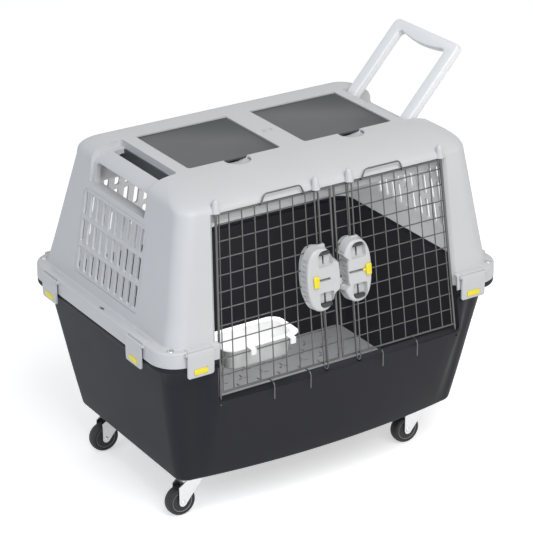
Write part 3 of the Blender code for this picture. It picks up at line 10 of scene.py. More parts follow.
import bmesh
import bpy
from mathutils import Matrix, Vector


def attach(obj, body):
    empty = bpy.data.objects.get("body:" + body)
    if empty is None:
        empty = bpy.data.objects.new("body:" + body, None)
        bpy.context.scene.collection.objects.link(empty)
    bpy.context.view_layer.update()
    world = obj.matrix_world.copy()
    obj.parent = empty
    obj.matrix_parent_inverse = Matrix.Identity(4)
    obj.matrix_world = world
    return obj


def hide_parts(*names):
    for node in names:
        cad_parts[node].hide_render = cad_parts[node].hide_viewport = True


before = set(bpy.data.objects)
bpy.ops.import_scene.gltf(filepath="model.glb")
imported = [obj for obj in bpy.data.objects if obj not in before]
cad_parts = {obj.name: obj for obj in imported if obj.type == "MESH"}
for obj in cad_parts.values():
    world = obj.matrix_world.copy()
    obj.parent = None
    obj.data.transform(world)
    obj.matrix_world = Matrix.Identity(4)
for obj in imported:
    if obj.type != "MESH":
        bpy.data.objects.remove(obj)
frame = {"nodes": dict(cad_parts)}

LOG = logging.getLogger("crate")

Ring = list[Vector]
Flat = list[tuple[float, float]]
Piece = bpy.types.Object
Part = TypeVar("Part")

UP = Vector((0, 0, 1))
# A Y in front of the whole crate and an X past its ends, for cutters that start or stop outside it
AHEAD = -0.34
PAST_END = 0.40


class Side(Enum):
    """Left or right end of the crate, as the sign of X."""

    LEFT = -1
    RIGHT = 1

    @property
    def word(self) -> str:
        """The side's word in node names."""
        return self.name.lower()


class Face(Enum):
    """Front or rear, as the sign of Y."""

    FRONT = -1
    REAR = 1

    @property
    def word(self) -> str:
        """The face's word in node names."""
        return self.name.lower()


class Work(Enum):
    """What a Boolean does with its tool."""

    JOIN = "UNION"
    CUT = "DIFFERENCE"
    KEEP = "INTERSECT"


# Workshop: the operators that every piece is made with


def clear_selection() -> None:
    """Leave edit mode and select nothing."""
    if bpy.context.object and bpy.context.object.mode != "OBJECT":
        bpy.ops.object.mode_set(mode="OBJECT")
    bpy.ops.object.select_all(action="DESELECT")


def take(piece: Piece) -> Piece:
    """Select one object alone and make it active."""
    clear_selection()
    piece.select_set(True)
    bpy.context.view_layer.objects.active = piece
    return piece


def settle(piece: Piece) -> Piece:
    """Put an object's place and turn into its mesh."""
    take(piece)
    bpy.ops.object.transform_apply(location=True, rotation=True, scale=True)
    return piece


def named(name: str) -> Piece:
    """Name the object that an operator has just added."""
    piece = bpy.context.object
    piece.name = name
    piece.data.name = name
    return piece


def lerp(start: float, end: float, share: float) -> float:
    """The value at a share of the way between two others."""
    return start + (end - start) * share


def about(middle: float, half: float) -> tuple[float, float]:
    """Two places at the same distance from a middle, the lower one first."""
    return middle - half, middle + half


def quarter(steps: int, first: int = 0) -> list[tuple[float, float]]:
    """Sine and cosine at even steps round a quarter circle."""
    angles = [math.pi / 2 * step / steps for step in range(first, steps + 1)]
    return [(math.sin(angle), math.cos(angle)) for angle in angles]


def box_ring(x0: float, x1: float, front: float, back: float, z: float) -> Ring:
    """A level rectangle, from its front corner at x0."""
    return [Vector((x0, front, z)), Vector((x1, front, z)), Vector((x1, back, z)), Vector((x0, back, z))]


def face_outwards(piece: Piece) -> Piece:
    """Turn all faces of a closed mesh outwards."""
    take(piece)
    bpy.ops.object.mode_set(mode="EDIT")
    bpy.ops.mesh.select_all(action="SELECT")
    bpy.ops.mesh.normals_make_consistent(inside=False)
    bpy.ops.object.mode_set(mode="OBJECT")
    return piece


def skin(name: str, rings: Sequence[Ring]) -> Piece:
    """Draw up a closed skin: a filled circle is extruded once for each ring and its new edge is shaped.

    Args:
        name: the new object's name.
        rings: outlines with as many points each, from one end to the other.

    Returns:
        The closed object, with its faces outwards.
    """
    clear_selection()
    count = len(rings[0])
    bpy.ops.mesh.primitive_circle_add(vertices=count, radius=1, fill_type="NGON")
    piece = named(name)
    bpy.ops.object.mode_set(mode="EDIT")
    shape = bmesh.from_edit_mesh(piece.data)
    for vert, place in zip(sorted(shape.verts, key=lambda found: found.index), rings[0]):
        vert.co = place
    bmesh.update_edit_mesh(piece.data)
    for before, ring in zip(rings, rings[1:]):
        bpy.ops.mesh.extrude_region_move(TRANSFORM_OT_translate={"value": (0, 0, 0)})
        shape = bmesh.from_edit_mesh(piece.data)
        places = {old.to_tuple(5): new for old, new in zip(before, ring)}
        for vert in [found for found in shape.verts if found.select]:
            vert.co = places[vert.co.to_tuple(5)]
        bmesh.update_edit_mesh(piece.data)
    bpy.ops.object.mode_set(mode="OBJECT")
    return face_outwards(piece)


def block(name: str, low: Sequence[float], high: Sequence[float], soft: float = 0.0, steps: int = 3) -> Piece:
    """A cube set between two corners, with its edges rounded if soft is given."""
    clear_selection()
    middle = [(a + b) / 2 for a, b in zip(low, high)]
    bpy.ops.mesh.primitive_cube_add(size=1, location=middle)
    piece = named(name)
    piece.scale = [b - a for a, b in zip(low, high)]
    settle(piece)
    return round_edges(piece, soft, steps) if soft else piece


def round_edges(piece: Piece, width: float, steps: int = 3, limit: float = 35.0) -> Piece:
    """Bevel every edge that turns by more than the limit, in degrees."""
    bevel = piece.modifiers.new("Rounding", "BEVEL")
    bevel.width = width
    bevel.segments = steps
    bevel.limit_method = "ANGLE"
    bevel.angle_limit = math.radians(limit)
    bevel.miter_outer = "MITER_ARC"
    take(piece)
    bpy.ops.object.modifier_apply(modifier=bevel.name)
    return piece


def work(piece: Piece, kind: Work, *tools: Piece) -> Piece:
    """Join tools to a piece, cut them out of it or keep what they share. The tools are used up."""
    for tool in tools:
        step = piece.modifiers.new("Work", "BOOLEAN")
        step.operation = kind.value
        step.solver = "EXACT"
        step.object = tool
        take(piece)
        bpy.ops.object.modifier_apply(modifier=step.name)
        bpy.data.objects.remove(tool)
    return piece


def flattened(piece: Piece) -> Piece:
    """Split every face into triangles, so that each one is flat when it is cut or joined."""
    take(piece)
    bpy.ops.object.mode_set(mode="EDIT")
    bpy.ops.mesh.select_all(action="SELECT")
    bpy.ops.mesh.quads_convert_to_tris()
    bpy.ops.object.mode_set(mode="OBJECT")
    return piece


def gather(name: str, pieces: Iterable[Piece]) -> Piece:
    """Join separate shapes into one object."""
    clear_selection()
    group = list(pieces)
    for piece in group:
        piece.select_set(True)
    bpy.context.view_layer.objects.active = group[0]
    bpy.ops.object.join()
    return named(name)


def smooth(piece: Piece, angle: float = 32.0) -> Piece:
    """Shade the piece smooth across every edge that turns by less than the angle, in degrees."""
    take(piece)
    bpy.ops.object.shade_smooth_by_angle(angle=math.radians(angle))
    return piece


def circle(centre: Vector, along: Vector, radius: float, count: int, turn: float = 0.5) -> Ring:
    """Points round a centre, in the plane square to a direction."""
    along = Vector(along).normalized()
    first = along.orthogonal().normalized()
    second = along.cross(first)
    angles = [2 * math.pi * (step + turn) / count for step in range(count)]
    return [Vector(centre) + (first * math.cos(a) + second * math.sin(a)) * radius for a in angles]


def turned(name: str, centre: Vector, along: Vector, profile: Sequence[tuple[float, float]], count: int) -> Piece:
    """Turn a solid on a lathe.

    Args:
        name: the new object's name.
        centre: where the axis starts.
        along: the axis.
        profile: pairs of distance along the axis and radius.
        count: faces round the axis.
    """
    along = Vector(along).normalized()
    return skin(name, [circle(Vector(centre) + along * reach, along, radius, count) for reach, radius in profile])


def bar(name: str, start: Vector, end: Vector, radius: float, count: int = 12) -> Piece:
    """A straight round bar between two points, from a cylinder laid along it."""
    clear_selection()
    start, end = Vector(start), Vector(end)
    way = end - start
    bpy.ops.mesh.primitive_cylinder_add(vertices=count, radius=radius, depth=way.length, location=(start + end) / 2)
    piece = named(name)
    piece.rotation_mode = "QUATERNION"
    piece.rotation_quaternion = way.to_track_quat("Z", "Y")
    return settle(piece)


def bend_path(points: Sequence[Vector], radius: float, steps: int = 4) -> Ring:
    """Round the corners of a path of straight stretches."""
    path = [points[0]]
    for before, corner, after in zip(points, points[1:], points[2:]):
        into, out = corner - before, after - corner
        reach = min(radius, into.length * 0.48, out.length * 0.48)
        start, end = corner - into.normalized() * reach, corner + out.normalized() * reach
        for step in range(steps + 1):
            share = step / steps
            path.append(start.lerp(corner, share).lerp(corner.lerp(end, share), share))
    path.append(points[-1])
    return path


def wire(name: str, points: Sequence[Vector], radius: float, bend: float = 0.0, resolution: int = 3) -> Piece:
    """A bent wire: a curve through the points, given its thickness and made a mesh."""
    clear_selection()
    path = bend_path(points, bend) if bend else list(points)
    bpy.ops.curve.primitive_nurbs_path_add()
    piece = named(name)
    curve = piece.data
    curve.splines.clear()
    spline = curve.splines.new("POLY")
    spline.points.add(len(path) - 1)
    for point, place in zip(spline.points, path):
        point.co = (*place, 1)
    curve.dimensions = "3D"
    curve.bevel_depth = radius
    curve.bevel_resolution = resolution
    curve.use_fill_caps = True
    bpy.ops.object.convert(target="MESH")
    piece = named(name)
    piece.data.materials.clear()
    take(piece)
    bpy.ops.object.mode_set(mode="EDIT")
    bpy.ops.mesh.select_all(action="SELECT")
    bpy.ops.mesh.remove_doubles(threshold=1e-6)
    bpy.ops.object.mode_set(mode="OBJECT")
    return settle(piece)


def copy_of(piece: Piece, name: str, shift: Vector = Vector()) -> Piece:
    """A copy with its own mesh, moved by the shift."""
    take(piece)
    bpy.ops.object.duplicate()
    twin = named(name)
    twin.location = shift
    return settle(twin)


def rounded(half: float, low: float, high: float, foot: float, head: float, steps: int = 5) -> Flat:
    """A flat outline with round corners, from its lower left and round to the right."""
    corners = (
        (foot - half, low + foot, 180, foot),
        (half - foot, low + foot, 270, foot),
        (half - head, high - head, 0, head),
        (head - half, high - head, 90, head),
    )
    outline = []
    for u, v, start, corner in corners:
        for step in range(steps + 1):
            angle = math.radians(start + 90 * step / steps)
            outline.append((u + corner * math.cos(angle), v + corner * math.sin(angle)))
    return outline


def plate(name: str, outline: Ring, shift: Vector) -> Piece:
    """An outline pushed along a vector."""
    return skin(name, [outline, [point + Vector(shift) for point in outline]])


# Finishes


def node_of(tree: bpy.types.NodeTree, kind: str, **values: object) -> bpy.types.Node:
    """Add a node and set its named input values.

    Args:
        tree: the material's tree.
        kind: the node's type.
        values: input names, with spaces as underscores, and their values.
    """
    node = tree.nodes.new(kind)
    for key, value in values.items():
        node.inputs[key.replace("_", " ")].default_value = value
    return node


@dataclass(frozen=True)
class Finish:
    """The look of a piece: a colour that wanders a little, and a roughness that wanders with it.

    Attributes:
        name: the material's name.
        colour: base colour, linear.
        roughness: mean roughness.
    """

    name: str
    colour: tuple[float, float, float]
    roughness: float = 0.4

    def material(self) -> bpy.types.Material:
        """Make the material, or find it if it is made already."""
        made = bpy.data.materials.get(self.name)
        if made:
            return made
        made = bpy.data.materials.new(self.name)
        made.use_nodes = True
        self.dress(made.node_tree)
        return made

    def dress(self, tree: bpy.types.NodeTree) -> None:
        """Fill the material's tree. The plain look has the colour and the roughness alone."""
        self.wander(tree, (1.0, 1.0), 0.0)

    def wander(self, tree: bpy.types.NodeTree, shares: tuple[float, float], spread: float, **noise: float) -> None:
        """Let a noise move the colour and the roughness.

        Args:
            tree: the material's tree.
            shares: darkest and lightest colour, as shares of the base colour.
            spread: how far the roughness wanders from its mean.
            noise: the noise's scale, detail and roughness.
        """
        link, shader = tree.links.new, tree.nodes["Principled BSDF"]
        place, clouds = node_of(tree, "ShaderNodeTexCoord"), node_of(tree, "ShaderNodeTexNoise", **noise)
        link(place.outputs["Object"], clouds.inputs["Vector"])
        colours, rough = node_of(tree, "ShaderNodeMix"), node_of(tree, "ShaderNodeMapRange")
        colours.data_type = "RGBA"
        for socket, share in zip((6, 7), shares):
            colours.inputs[socket].default_value = (*[min(1.0, value * share) for value in self.colour], 1)
        link(clouds.outputs["Fac"], colours.inputs[0])
        link(colours.outputs[2], shader.inputs["Base Color"])
        rough.inputs["To Min"].default_value = self.roughness - spread
        rough.inputs["To Max"].default_value = self.roughness + spread
        link(clouds.outputs["Fac"], rough.inputs["Value"])
        link(rough.outputs["Result"], shader.inputs["Roughness"])


@dataclass(frozen=True)
class Plastic(Finish):
    """Moulded plastic: one colour with slight clouding, a fine grain, and edges that a mould rounds.

    Attributes:
        roughness: mean roughness.
        cloud: how far the colour wanders, as a share.
        grain: depth of the grain in metres.
        pitch: size of the grain, as texture scale.
        edge: radius that soft light sees on sharp edges, in metres.
        shine: how much it mirrors.
    """

    roughness: float = 0.42
    cloud: float = 0.03
    grain: float = 0.00004
    pitch: float = 900.0
    edge: float = 0.0012
    shine: float = 0.5

    def dress(self, tree: bpy.types.NodeTree) -> None:
        """Cloud the colour, grain the surface and soften its edges."""
        link, shader = tree.links.new, tree.nodes["Principled BSDF"]
        shader.inputs["Specular IOR Level"].default_value = self.shine
        self.wander(tree, (1 - self.cloud, 1 + self.cloud), 0.05, Scale=7.0, Detail=3.0, Roughness=0.55)
        place = node_of(tree, "ShaderNodeTexCoord")
        grain = node_of(tree, "ShaderNodeTexNoise", Scale=self.pitch, Detail=1.0)
        bump = node_of(tree, "ShaderNodeBump", Distance=self.grain, Strength=0.5)
        softened = node_of(tree, "ShaderNodeBevel", Radius=self.edge)
        softened.samples = 4
        link(place.outputs["Object"], grain.inputs["Vector"])
        link(grain.outputs["Fac"], bump.inputs["Height"])
        link(softened.outputs["Normal"], bump.inputs["Normal"])
        link(bump.outputs["Normal"], shader.inputs["Normal"])


@dataclass(frozen=True)
class Metal(Finish):
    """Plated or drawn metal with fine wear.

    Attributes:
        roughness: mean roughness.
        spread: how far the roughness wanders.
        pitch: size of the wear, as texture scale.
    """

    roughness: float = 0.3
    spread: float = 0.12
    pitch: float = 160.0

    def dress(self, tree: bpy.types.NodeTree) -> None:
        """Make it metal and wear it."""
        tree.nodes["Principled BSDF"].inputs["Metallic"].default_value = 1.0
        self.wander(tree, (0.86, 1.08), self.spread, Scale=self.pitch, Detail=4.0, Roughness=0.6)


SHELL = Plastic("light_grey_shell", (0.540, 0.543, 0.554), 0.44, shine=0.45)
TUB = Plastic("charcoal_tub", (0.023, 0.023, 0.028), 0.50, cloud=0.06, shine=0.08)
LID = Plastic("slate_lid", (0.052, 0.059, 0.062), 0.38, cloud=0.05, shine=0.24)
PANEL = Plastic("grey_floor_panel", (0.300, 0.300, 0.315), 0.55, cloud=0.06)
HANDLE = Plastic("pale_tow_handle", (0.760, 0.770, 0.780), 0.40)
HOUSING = Plastic("pale_latch_housing", (0.540, 0.540, 0.545), 0.38)
PULL = Plastic("black_pull", (0.030, 0.031, 0.034), 0.42)
YELLOW = Plastic("yellow_catch", (0.800, 0.690, 0.030), 0.38)
BOWL = Plastic("white_bowl", (0.820, 0.820, 0.820), 0.26, cloud=0.02)
BLACK = Plastic("black_nylon", (0.020, 0.020, 0.022), 0.48)
TYRE = Plastic("black_tyre", (0.014, 0.014, 0.015), 0.62, cloud=0.15, grain=0.00015, pitch=420.0)
HUB = Plastic("grey_hub", (0.200, 0.200, 0.210), 0.40)
WIRE = Metal("plated_wire", (0.150, 0.150, 0.146), 0.36)
ZINC = Metal("zinc_plate", (0.720, 0.725, 0.730), 0.30)


def hand_over(piece: Piece, body: str, finish: Finish, slot: str, *nodes: str) -> Piece:
    """Dress a finished piece, let it ride on its body and have it stand for its CAD nodes.

    Args:
        piece: the finished object.
        body: the body that carries it.
        finish: its finish.
        slot: a material slot's name; not used.
        nodes: the CAD nodes that it replaces.
    """
    piece.data.materials.clear()
    piece.data.materials.append(finish.material())
    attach(piece, body)
    if nodes:
        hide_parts(*nodes)
    LOG.info("%s rides on %s", piece.name, body)
    return piece


# The crate's main sizes, which several pieces share


@dataclass(frozen=True)
class Form:
    """The lines of the two mouldings and of the door plane, in metres. Heights and distances are from the floor's
    middle, and every lean is a distance per metre of height.

    Attributes:
        wall: thickness of the mouldings.
        fit: gap between pieces that touch.
        run: gap between pieces that move.
        pad_height: floor to the caster pads.
        pad_drop: caster pads to the tub's bottom.
        tub_height: tub's bottom to its rim.
        ledge_rise: rim to the shell's ledge.
        shell_rise: ledge to the eaves.
        roof_rise: eaves to the flat roof.
        skirt_drop: ledge to the skirt's lower edge.
        skirt_x, skirt_y, skirt_corner: half length, half depth and corner radius of the skirt.
        tub_top_x, tub_top_y: half length and half depth of the tub under its rim.
        tub_lean_x, tub_lean_y: how far the tub comes in at its bottom.
        tub_belly: how far its walls swell.
        tub_corner, tub_foot_corner: corner radius of the tub at its rim and at its bottom.
        foot_x, foot_rear, foot_corner: half length, rear and corner radius of the shell's foot.
        end_lean, rear_lean: lean of the shell's end walls and rear wall.
        rim, rim_gap: thickness of the rim, and its gap to the skirt.
        bead, bead_inset: height of the rim's bead, and how far it lies inside the skirt.
        front_bow, sill_bow: how far the tub's front bows out at its bottom and at the sill.
        bay_depth, bay_top, bay_share: depth of the bay at the sill and at the rim, and its share of the front.
        sill_rise: tub's bottom to the sill.
        flat_x, flat_front, flat_rear: reach of the flat roof.
        edge_power, header_power: roundness of the roof's edges and of the header.
        door_foot, door_lean: front of the doors' bottom wires, and their lean.
        door_gap, door_rise: sill to the doors, and their height.
        door_top_x, door_flare: hinge line at the doors' top, and how much further out it is lower down.
        face: door plane to the shell's front face.
        jamb_gap, head_gap: doors to the opening's sides and head.
        rod_x, rod_out: place of the push rods along X, and in front of the door plane.
        pin_hole, rod_hole: radius of the holes for hinge wires and rods.
        caster: distances of the casters' swivels from the middle.
        lid_span, lid_front, lid_rear: ends, front and rear of a lid's rebate.
        lid_thick, lid_sink, lid_pin: thickness, sink and pin radius of a lid.
        bail_x, bail_drop, bail_half, bail_pin: pivot of the tow handle, its recess's half width, its pin radius.
        flap_width, flap_barrel: width of a latch flap, and radius of its hinge barrel.
        flap_x, flap_shift: place of the front and rear flaps, and how far further left they sit.
        flap_y, flap_sink: place of the end flaps, and ledge to the flaps' hinges.
        screw_share: how far out from the shell's foot to the skirt the screws stand.
        vent_x, vent_rise: place of the rear vents, and ledge to the vents along their wall.
        corner_steps, front_steps, bay_steps: points round a corner, along the front and on a bay's side.
    """

    wall: float = 0.003
    fit: float = 0.0003
    run: float = 0.0010
    pad_height: float = 0.0934
    pad_drop: float = 0.004
    tub_height: float = 0.2884
    ledge_rise: float = 0.0266
    shell_rise: float = 0.2436
    roof_rise: float = 0.0357
    skirt_drop: float = 0.0320
    skirt_x: float = 0.3930
    skirt_y: float = 0.2730
    skirt_corner: float = 0.055
    tub_top_x: float = 0.3743
    tub_top_y: float = 0.2622
    tub_lean_x: float = 0.0493
    tub_lean_y: float = 0.0556
    tub_belly: float = 0.002
    tub_corner: float = 0.045
    tub_foot_corner: float = 0.028
    foot_x: float = 0.3685
    foot_rear: float = 0.2548
    foot_corner: float = 0.035
    end_lean: float = 0.1702
    rear_lean: float = 0.2624
    rim: float = 0.005
    rim_gap: float = 0.003
    bead: float = 0.0104
    bead_inset: float = 0.0035
    front_bow: float = 0.0248
    sill_bow: float = 0.012
    bay_depth: float = 0.029
    bay_top: float = 0.003
    bay_share: float = 0.88
    sill_rise: float = 0.1966
    flat_x: float = 0.2450
    flat_front: float = 0.1180
    flat_rear: float = 0.1100
    edge_power: float = 2.6
    header_power: float = 1.7
    door_foot: float = 0.2699
    door_lean: float = 0.1132
    door_gap: float = 0.0143
    door_rise: float = 0.3414
    door_top_x: float = 0.2541
    door_flare: float = 0.0539
    face: float = 0.0017
    jamb_gap: float = 0.0065
    head_gap: float = 0.0033
    rod_x: float = 0.0378
    rod_out: float = 0.0042
    pin_hole: float = 0.0034
    rod_hole: float = 0.0036
    caster: tuple[float, float] = (0.2697, 0.1540)
    lid_span: tuple[float, float] = (0.0273, 0.2319)
    lid_front: float = 0.0988
    lid_rear: float = 0.1025
    lid_thick: float = 0.0035
    lid_sink: float = 0.0022
    lid_pin: float = 0.0016
    bail_x: float = 0.2640
    bail_drop: float = 0.0197
    bail_half: float = 0.1080
    bail_pin: float = 0.0040
    flap_width: float = 0.056
    flap_barrel: float = 0.0030
    flap_x: float = 0.3140
    flap_shift: float = 0.0045
    flap_y: float = 0.1680
    flap_sink: float = 0.0044
    screw_share: float = 0.46
    vent_x: float = 0.155
    vent_rise: float = 0.0226
    corner_steps: int = 10
    front_steps: int = 22
    bay_steps: int = 5

    @property
    def z_tub(self) -> float:
        """Height of the tub's bottom."""
        return self.pad_height + self.pad_drop

    @property
    def z_rim(self) -> float:
        """Height of the tub's rim."""
        return self.z_tub + self.tub_height

    @property
    def z_ledge(self) -> float:
        """Height of the shell's ledge."""
        return self.z_rim + self.ledge_rise

    @property
    def z_skirt(self) -> float:
        """Height of the skirt's lower edge."""
        return self.z_ledge - self.skirt_drop

    @property
    def z_bead(self) -> float:
        """Height of the foot of the rim's bead."""
        return self.z_skirt - self.run - self.bead

    @property
    def z_eaves(self) -> float:
        """Height at which the walls start to round into the roof."""
        return self.z_ledge + self.shell_rise

    @property
    def z_roof(self) -> float:
        """Height of the roof's flat middle."""
        return self.z_eaves + self.roof_rise

    @property
    def z_sill(self) -> float:
        """Height of the door opening's sill."""
        return self.z_tub + self.sill_rise

    @property
    def z_door_bottom(self) -> float:
        """Height of the doors' bottom wires."""
        return self.z_sill + self.door_gap

    @property
    def z_door_top(self) -> float:
        """Height of the doors' top wires."""
        return self.z_door_bottom + self.door_rise

    @property
    def z_head(self) -> float:
        """Height of the header's underside."""
        return self.z_door_top + self.head_gap

    def door_y(self, z: float) -> float:
        """Y of the leaning door plane at a height."""
        return (z - self.z_door_bottom) * self.door_lean - self.door_foot

    def door_edge(self, z: float) -> float:
        """Distance from the middle to a hinge line at a height."""
        return self.door_top_x + (self.z_door_top - z) * self.door_flare

    def on_door(self, x: float, z: float, out: float = 0.0) -> Vector:
        """A point in the door plane, or a distance in front of it."""
        return Vector((x, self.door_y(z) - out, z))

    @property
    def door_up(self) -> Vector:
        """The direction up the door plane."""
        return Vector((0, self.door_lean, 1)).normalized()

    @property
    def z_lid_ledge(self) -> float:
        """Height of the rebates that the lids lie in."""
        return self.z_roof - self.lid_sink - self.lid_thick - self.fit

    def span(self, side: Side) -> list[float]:
        """A lid's rebate along X, lower end first."""
        return sorted(side.value * end for end in self.lid_span)

    def hinge_line(self, side: Side) -> Vector:
        """The direction up a door's hinge line."""
        return Vector((-side.value * self.door_flare, self.door_lean, 1)).normalized()

    def front_shares(self) -> list[float]:
        """Places along the straight front, closer together where the bay's sides slope."""
        shares = []
        for step in range(self.front_steps + 1):
            shares.append(lerp(-self.bay_share, self.bay_share, step / self.front_steps))
        ends = [lerp(self.bay_share, 1, (step + 1) / self.bay_steps) for step in range(self.bay_steps)]
        return [-share for share in reversed(ends)] + shares + ends

    def plan(self, half_x: float, front: float, rear: float, corner: float, bow: float = 0, bay: float = 0) -> Flat:
        """A rounded rectangle seen from above, whose front may bow and carry a bay with sloping sides.

        Args:
            half_x: half length along X.
            front: distance of the front from the middle.
            rear: distance of the rear from the middle.
            corner: radius of the corners.
            bow: how far the front bows out at its middle.
            bay: how far the bay stands out.
        """
        straight = half_x - corner
        points = []
        for share in self.front_shares():
            past = max(0.0, (abs(share) - self.bay_share) / (1 - self.bay_share))
            out = bow * (1 - share**2) + bay * (1 + math.cos(math.pi * past)) / 2
            points.append((share * straight, -front - out))
        steps = self.corner_steps
        corners = (
            (straight, corner - front, -90, 1, steps),
            (straight, rear - corner, 0, 0, steps),
            (-straight, rear - corner, 90, 0, steps),
            (-straight, corner - front, 180, 0, steps - 1),
        )
        for x, y, start, first, last in corners:
            for step in range(first, last + 1):
                angle = math.radians(start + 90 * step / steps)
                points.append((x + corner * math.cos(angle), y + corner * math.sin(angle)))
        return points

    def tub_ring(self, z: float, inset: float = 0.0) -> Ring:
        """The tub's wall at a height, moved inwards by the inset."""
        up = (z - self.z_tub) / self.tub_height
        belly = 4 * self.tub_belly * up * (1 - up)
        half_x = self.tub_top_x - self.tub_lean_x * (1 - up) + belly - inset
        half_y = self.tub_top_y - self.tub_lean_y * (1 - up) + belly - inset
        if z < self.z_sill:
            share = (z - self.z_tub) / self.sill_rise
            bow, bay = lerp(self.front_bow, self.sill_bow, share), self.bay_depth * share
        else:
            share = (z - self.z_sill) / (self.z_rim - self.z_sill)
            bow, bay = lerp(self.sill_bow, 0, share), lerp(self.bay_depth, self.bay_top, share)
        corner = lerp(self.tub_foot_corner, self.tub_corner, min(1.0, up / 0.6))
        flat = self.plan(half_x, half_y, half_y, corner - inset, bow, bay)
        return [Vector((x, y, z)) for x, y in flat]

    def skirt_ring(self, z: float, inset: float = 0.0) -> Ring:
        """The skirt's outline at a height, moved inwards by the inset."""
        flat = self.plan(self.skirt_x - inset, self.skirt_y - inset, self.skirt_y - inset, self.skirt_corner - inset)
        return [Vector((x, y, z)) for x, y in flat]

    def shell_ring(self, z: float, inset: float = 0.0) -> Ring:
        """The shell's wall at a height, moved inwards by the inset."""
        rise = z - self.z_ledge
        half_x = self.foot_x - self.end_lean * rise - inset
        front = self.face - self.door_y(z) - inset
        back = self.foot_rear - self.rear_lean * rise - inset
        return [Vector((x, y, z)) for x, y in self.plan(half_x, front, back, self.foot_corner - inset)]

    def foot_ring(self, z: float, inset: float = 0.0) -> Ring:
        """The shell's inner leg, straight down from the foot of its walls."""
        front = self.face - self.door_y(self.z_ledge) - inset
        flat = self.plan(self.foot_x - inset, front, self.foot_rear - inset, self.foot_corner - inset)
        return [Vector((x, y, z)) for x, y in flat]

    def roof_rings(self, steps: int, wall: float = 0.0) -> list[Ring]:
        """Rings from the eaves to the flat middle of the roof, a wall inside the outer skin."""

        def gone(height: float, depth: float, power: float) -> float:
            """How far a rounded edge has come in at a share of its height."""
            return depth * (1 - (1 - height**power) ** (1 / power))

        rise = self.z_eaves - self.z_ledge
        deep_x = self.foot_x - self.end_lean * rise - self.flat_x
        deep_front = self.face - self.door_y(self.z_eaves) - self.flat_front
        deep_rear = self.foot_rear - self.rear_lean * rise - self.flat_rear
        rings = []
        for step in range(steps + 1):
            height = math.sin(math.pi / 2 * step / steps)
            half_x = self.flat_x + deep_x - gone(height, deep_x, self.edge_power)
            front = self.flat_front + deep_front - gone(height, deep_front, self.header_power)
            rear = self.flat_rear + deep_rear - gone(height, deep_rear, self.edge_power)
            inset = wall * (1 - height**4)
            z = self.z_eaves + self.roof_rise * height - wall * height
            flat = self.plan(half_x - inset, front - inset, rear - inset, self.foot_corner - inset)
            rings.append([Vector((x, y, z)) for x, y in flat])
        return rings

    def roof_skin_height(self, front: float) -> float:
        """Height of the roof's outer skin over the header, at a distance in front of the middle."""
        deep = self.face - self.door_y(self.z_eaves) - self.flat_front
        inside = (self.face - self.door_y(self.z_eaves) - front) / deep
        return self.z_eaves + self.roof_rise * (1 - (1 - inside) ** self.header_power) ** (1 / self.header_power)


FORM = Form()


# Base tub


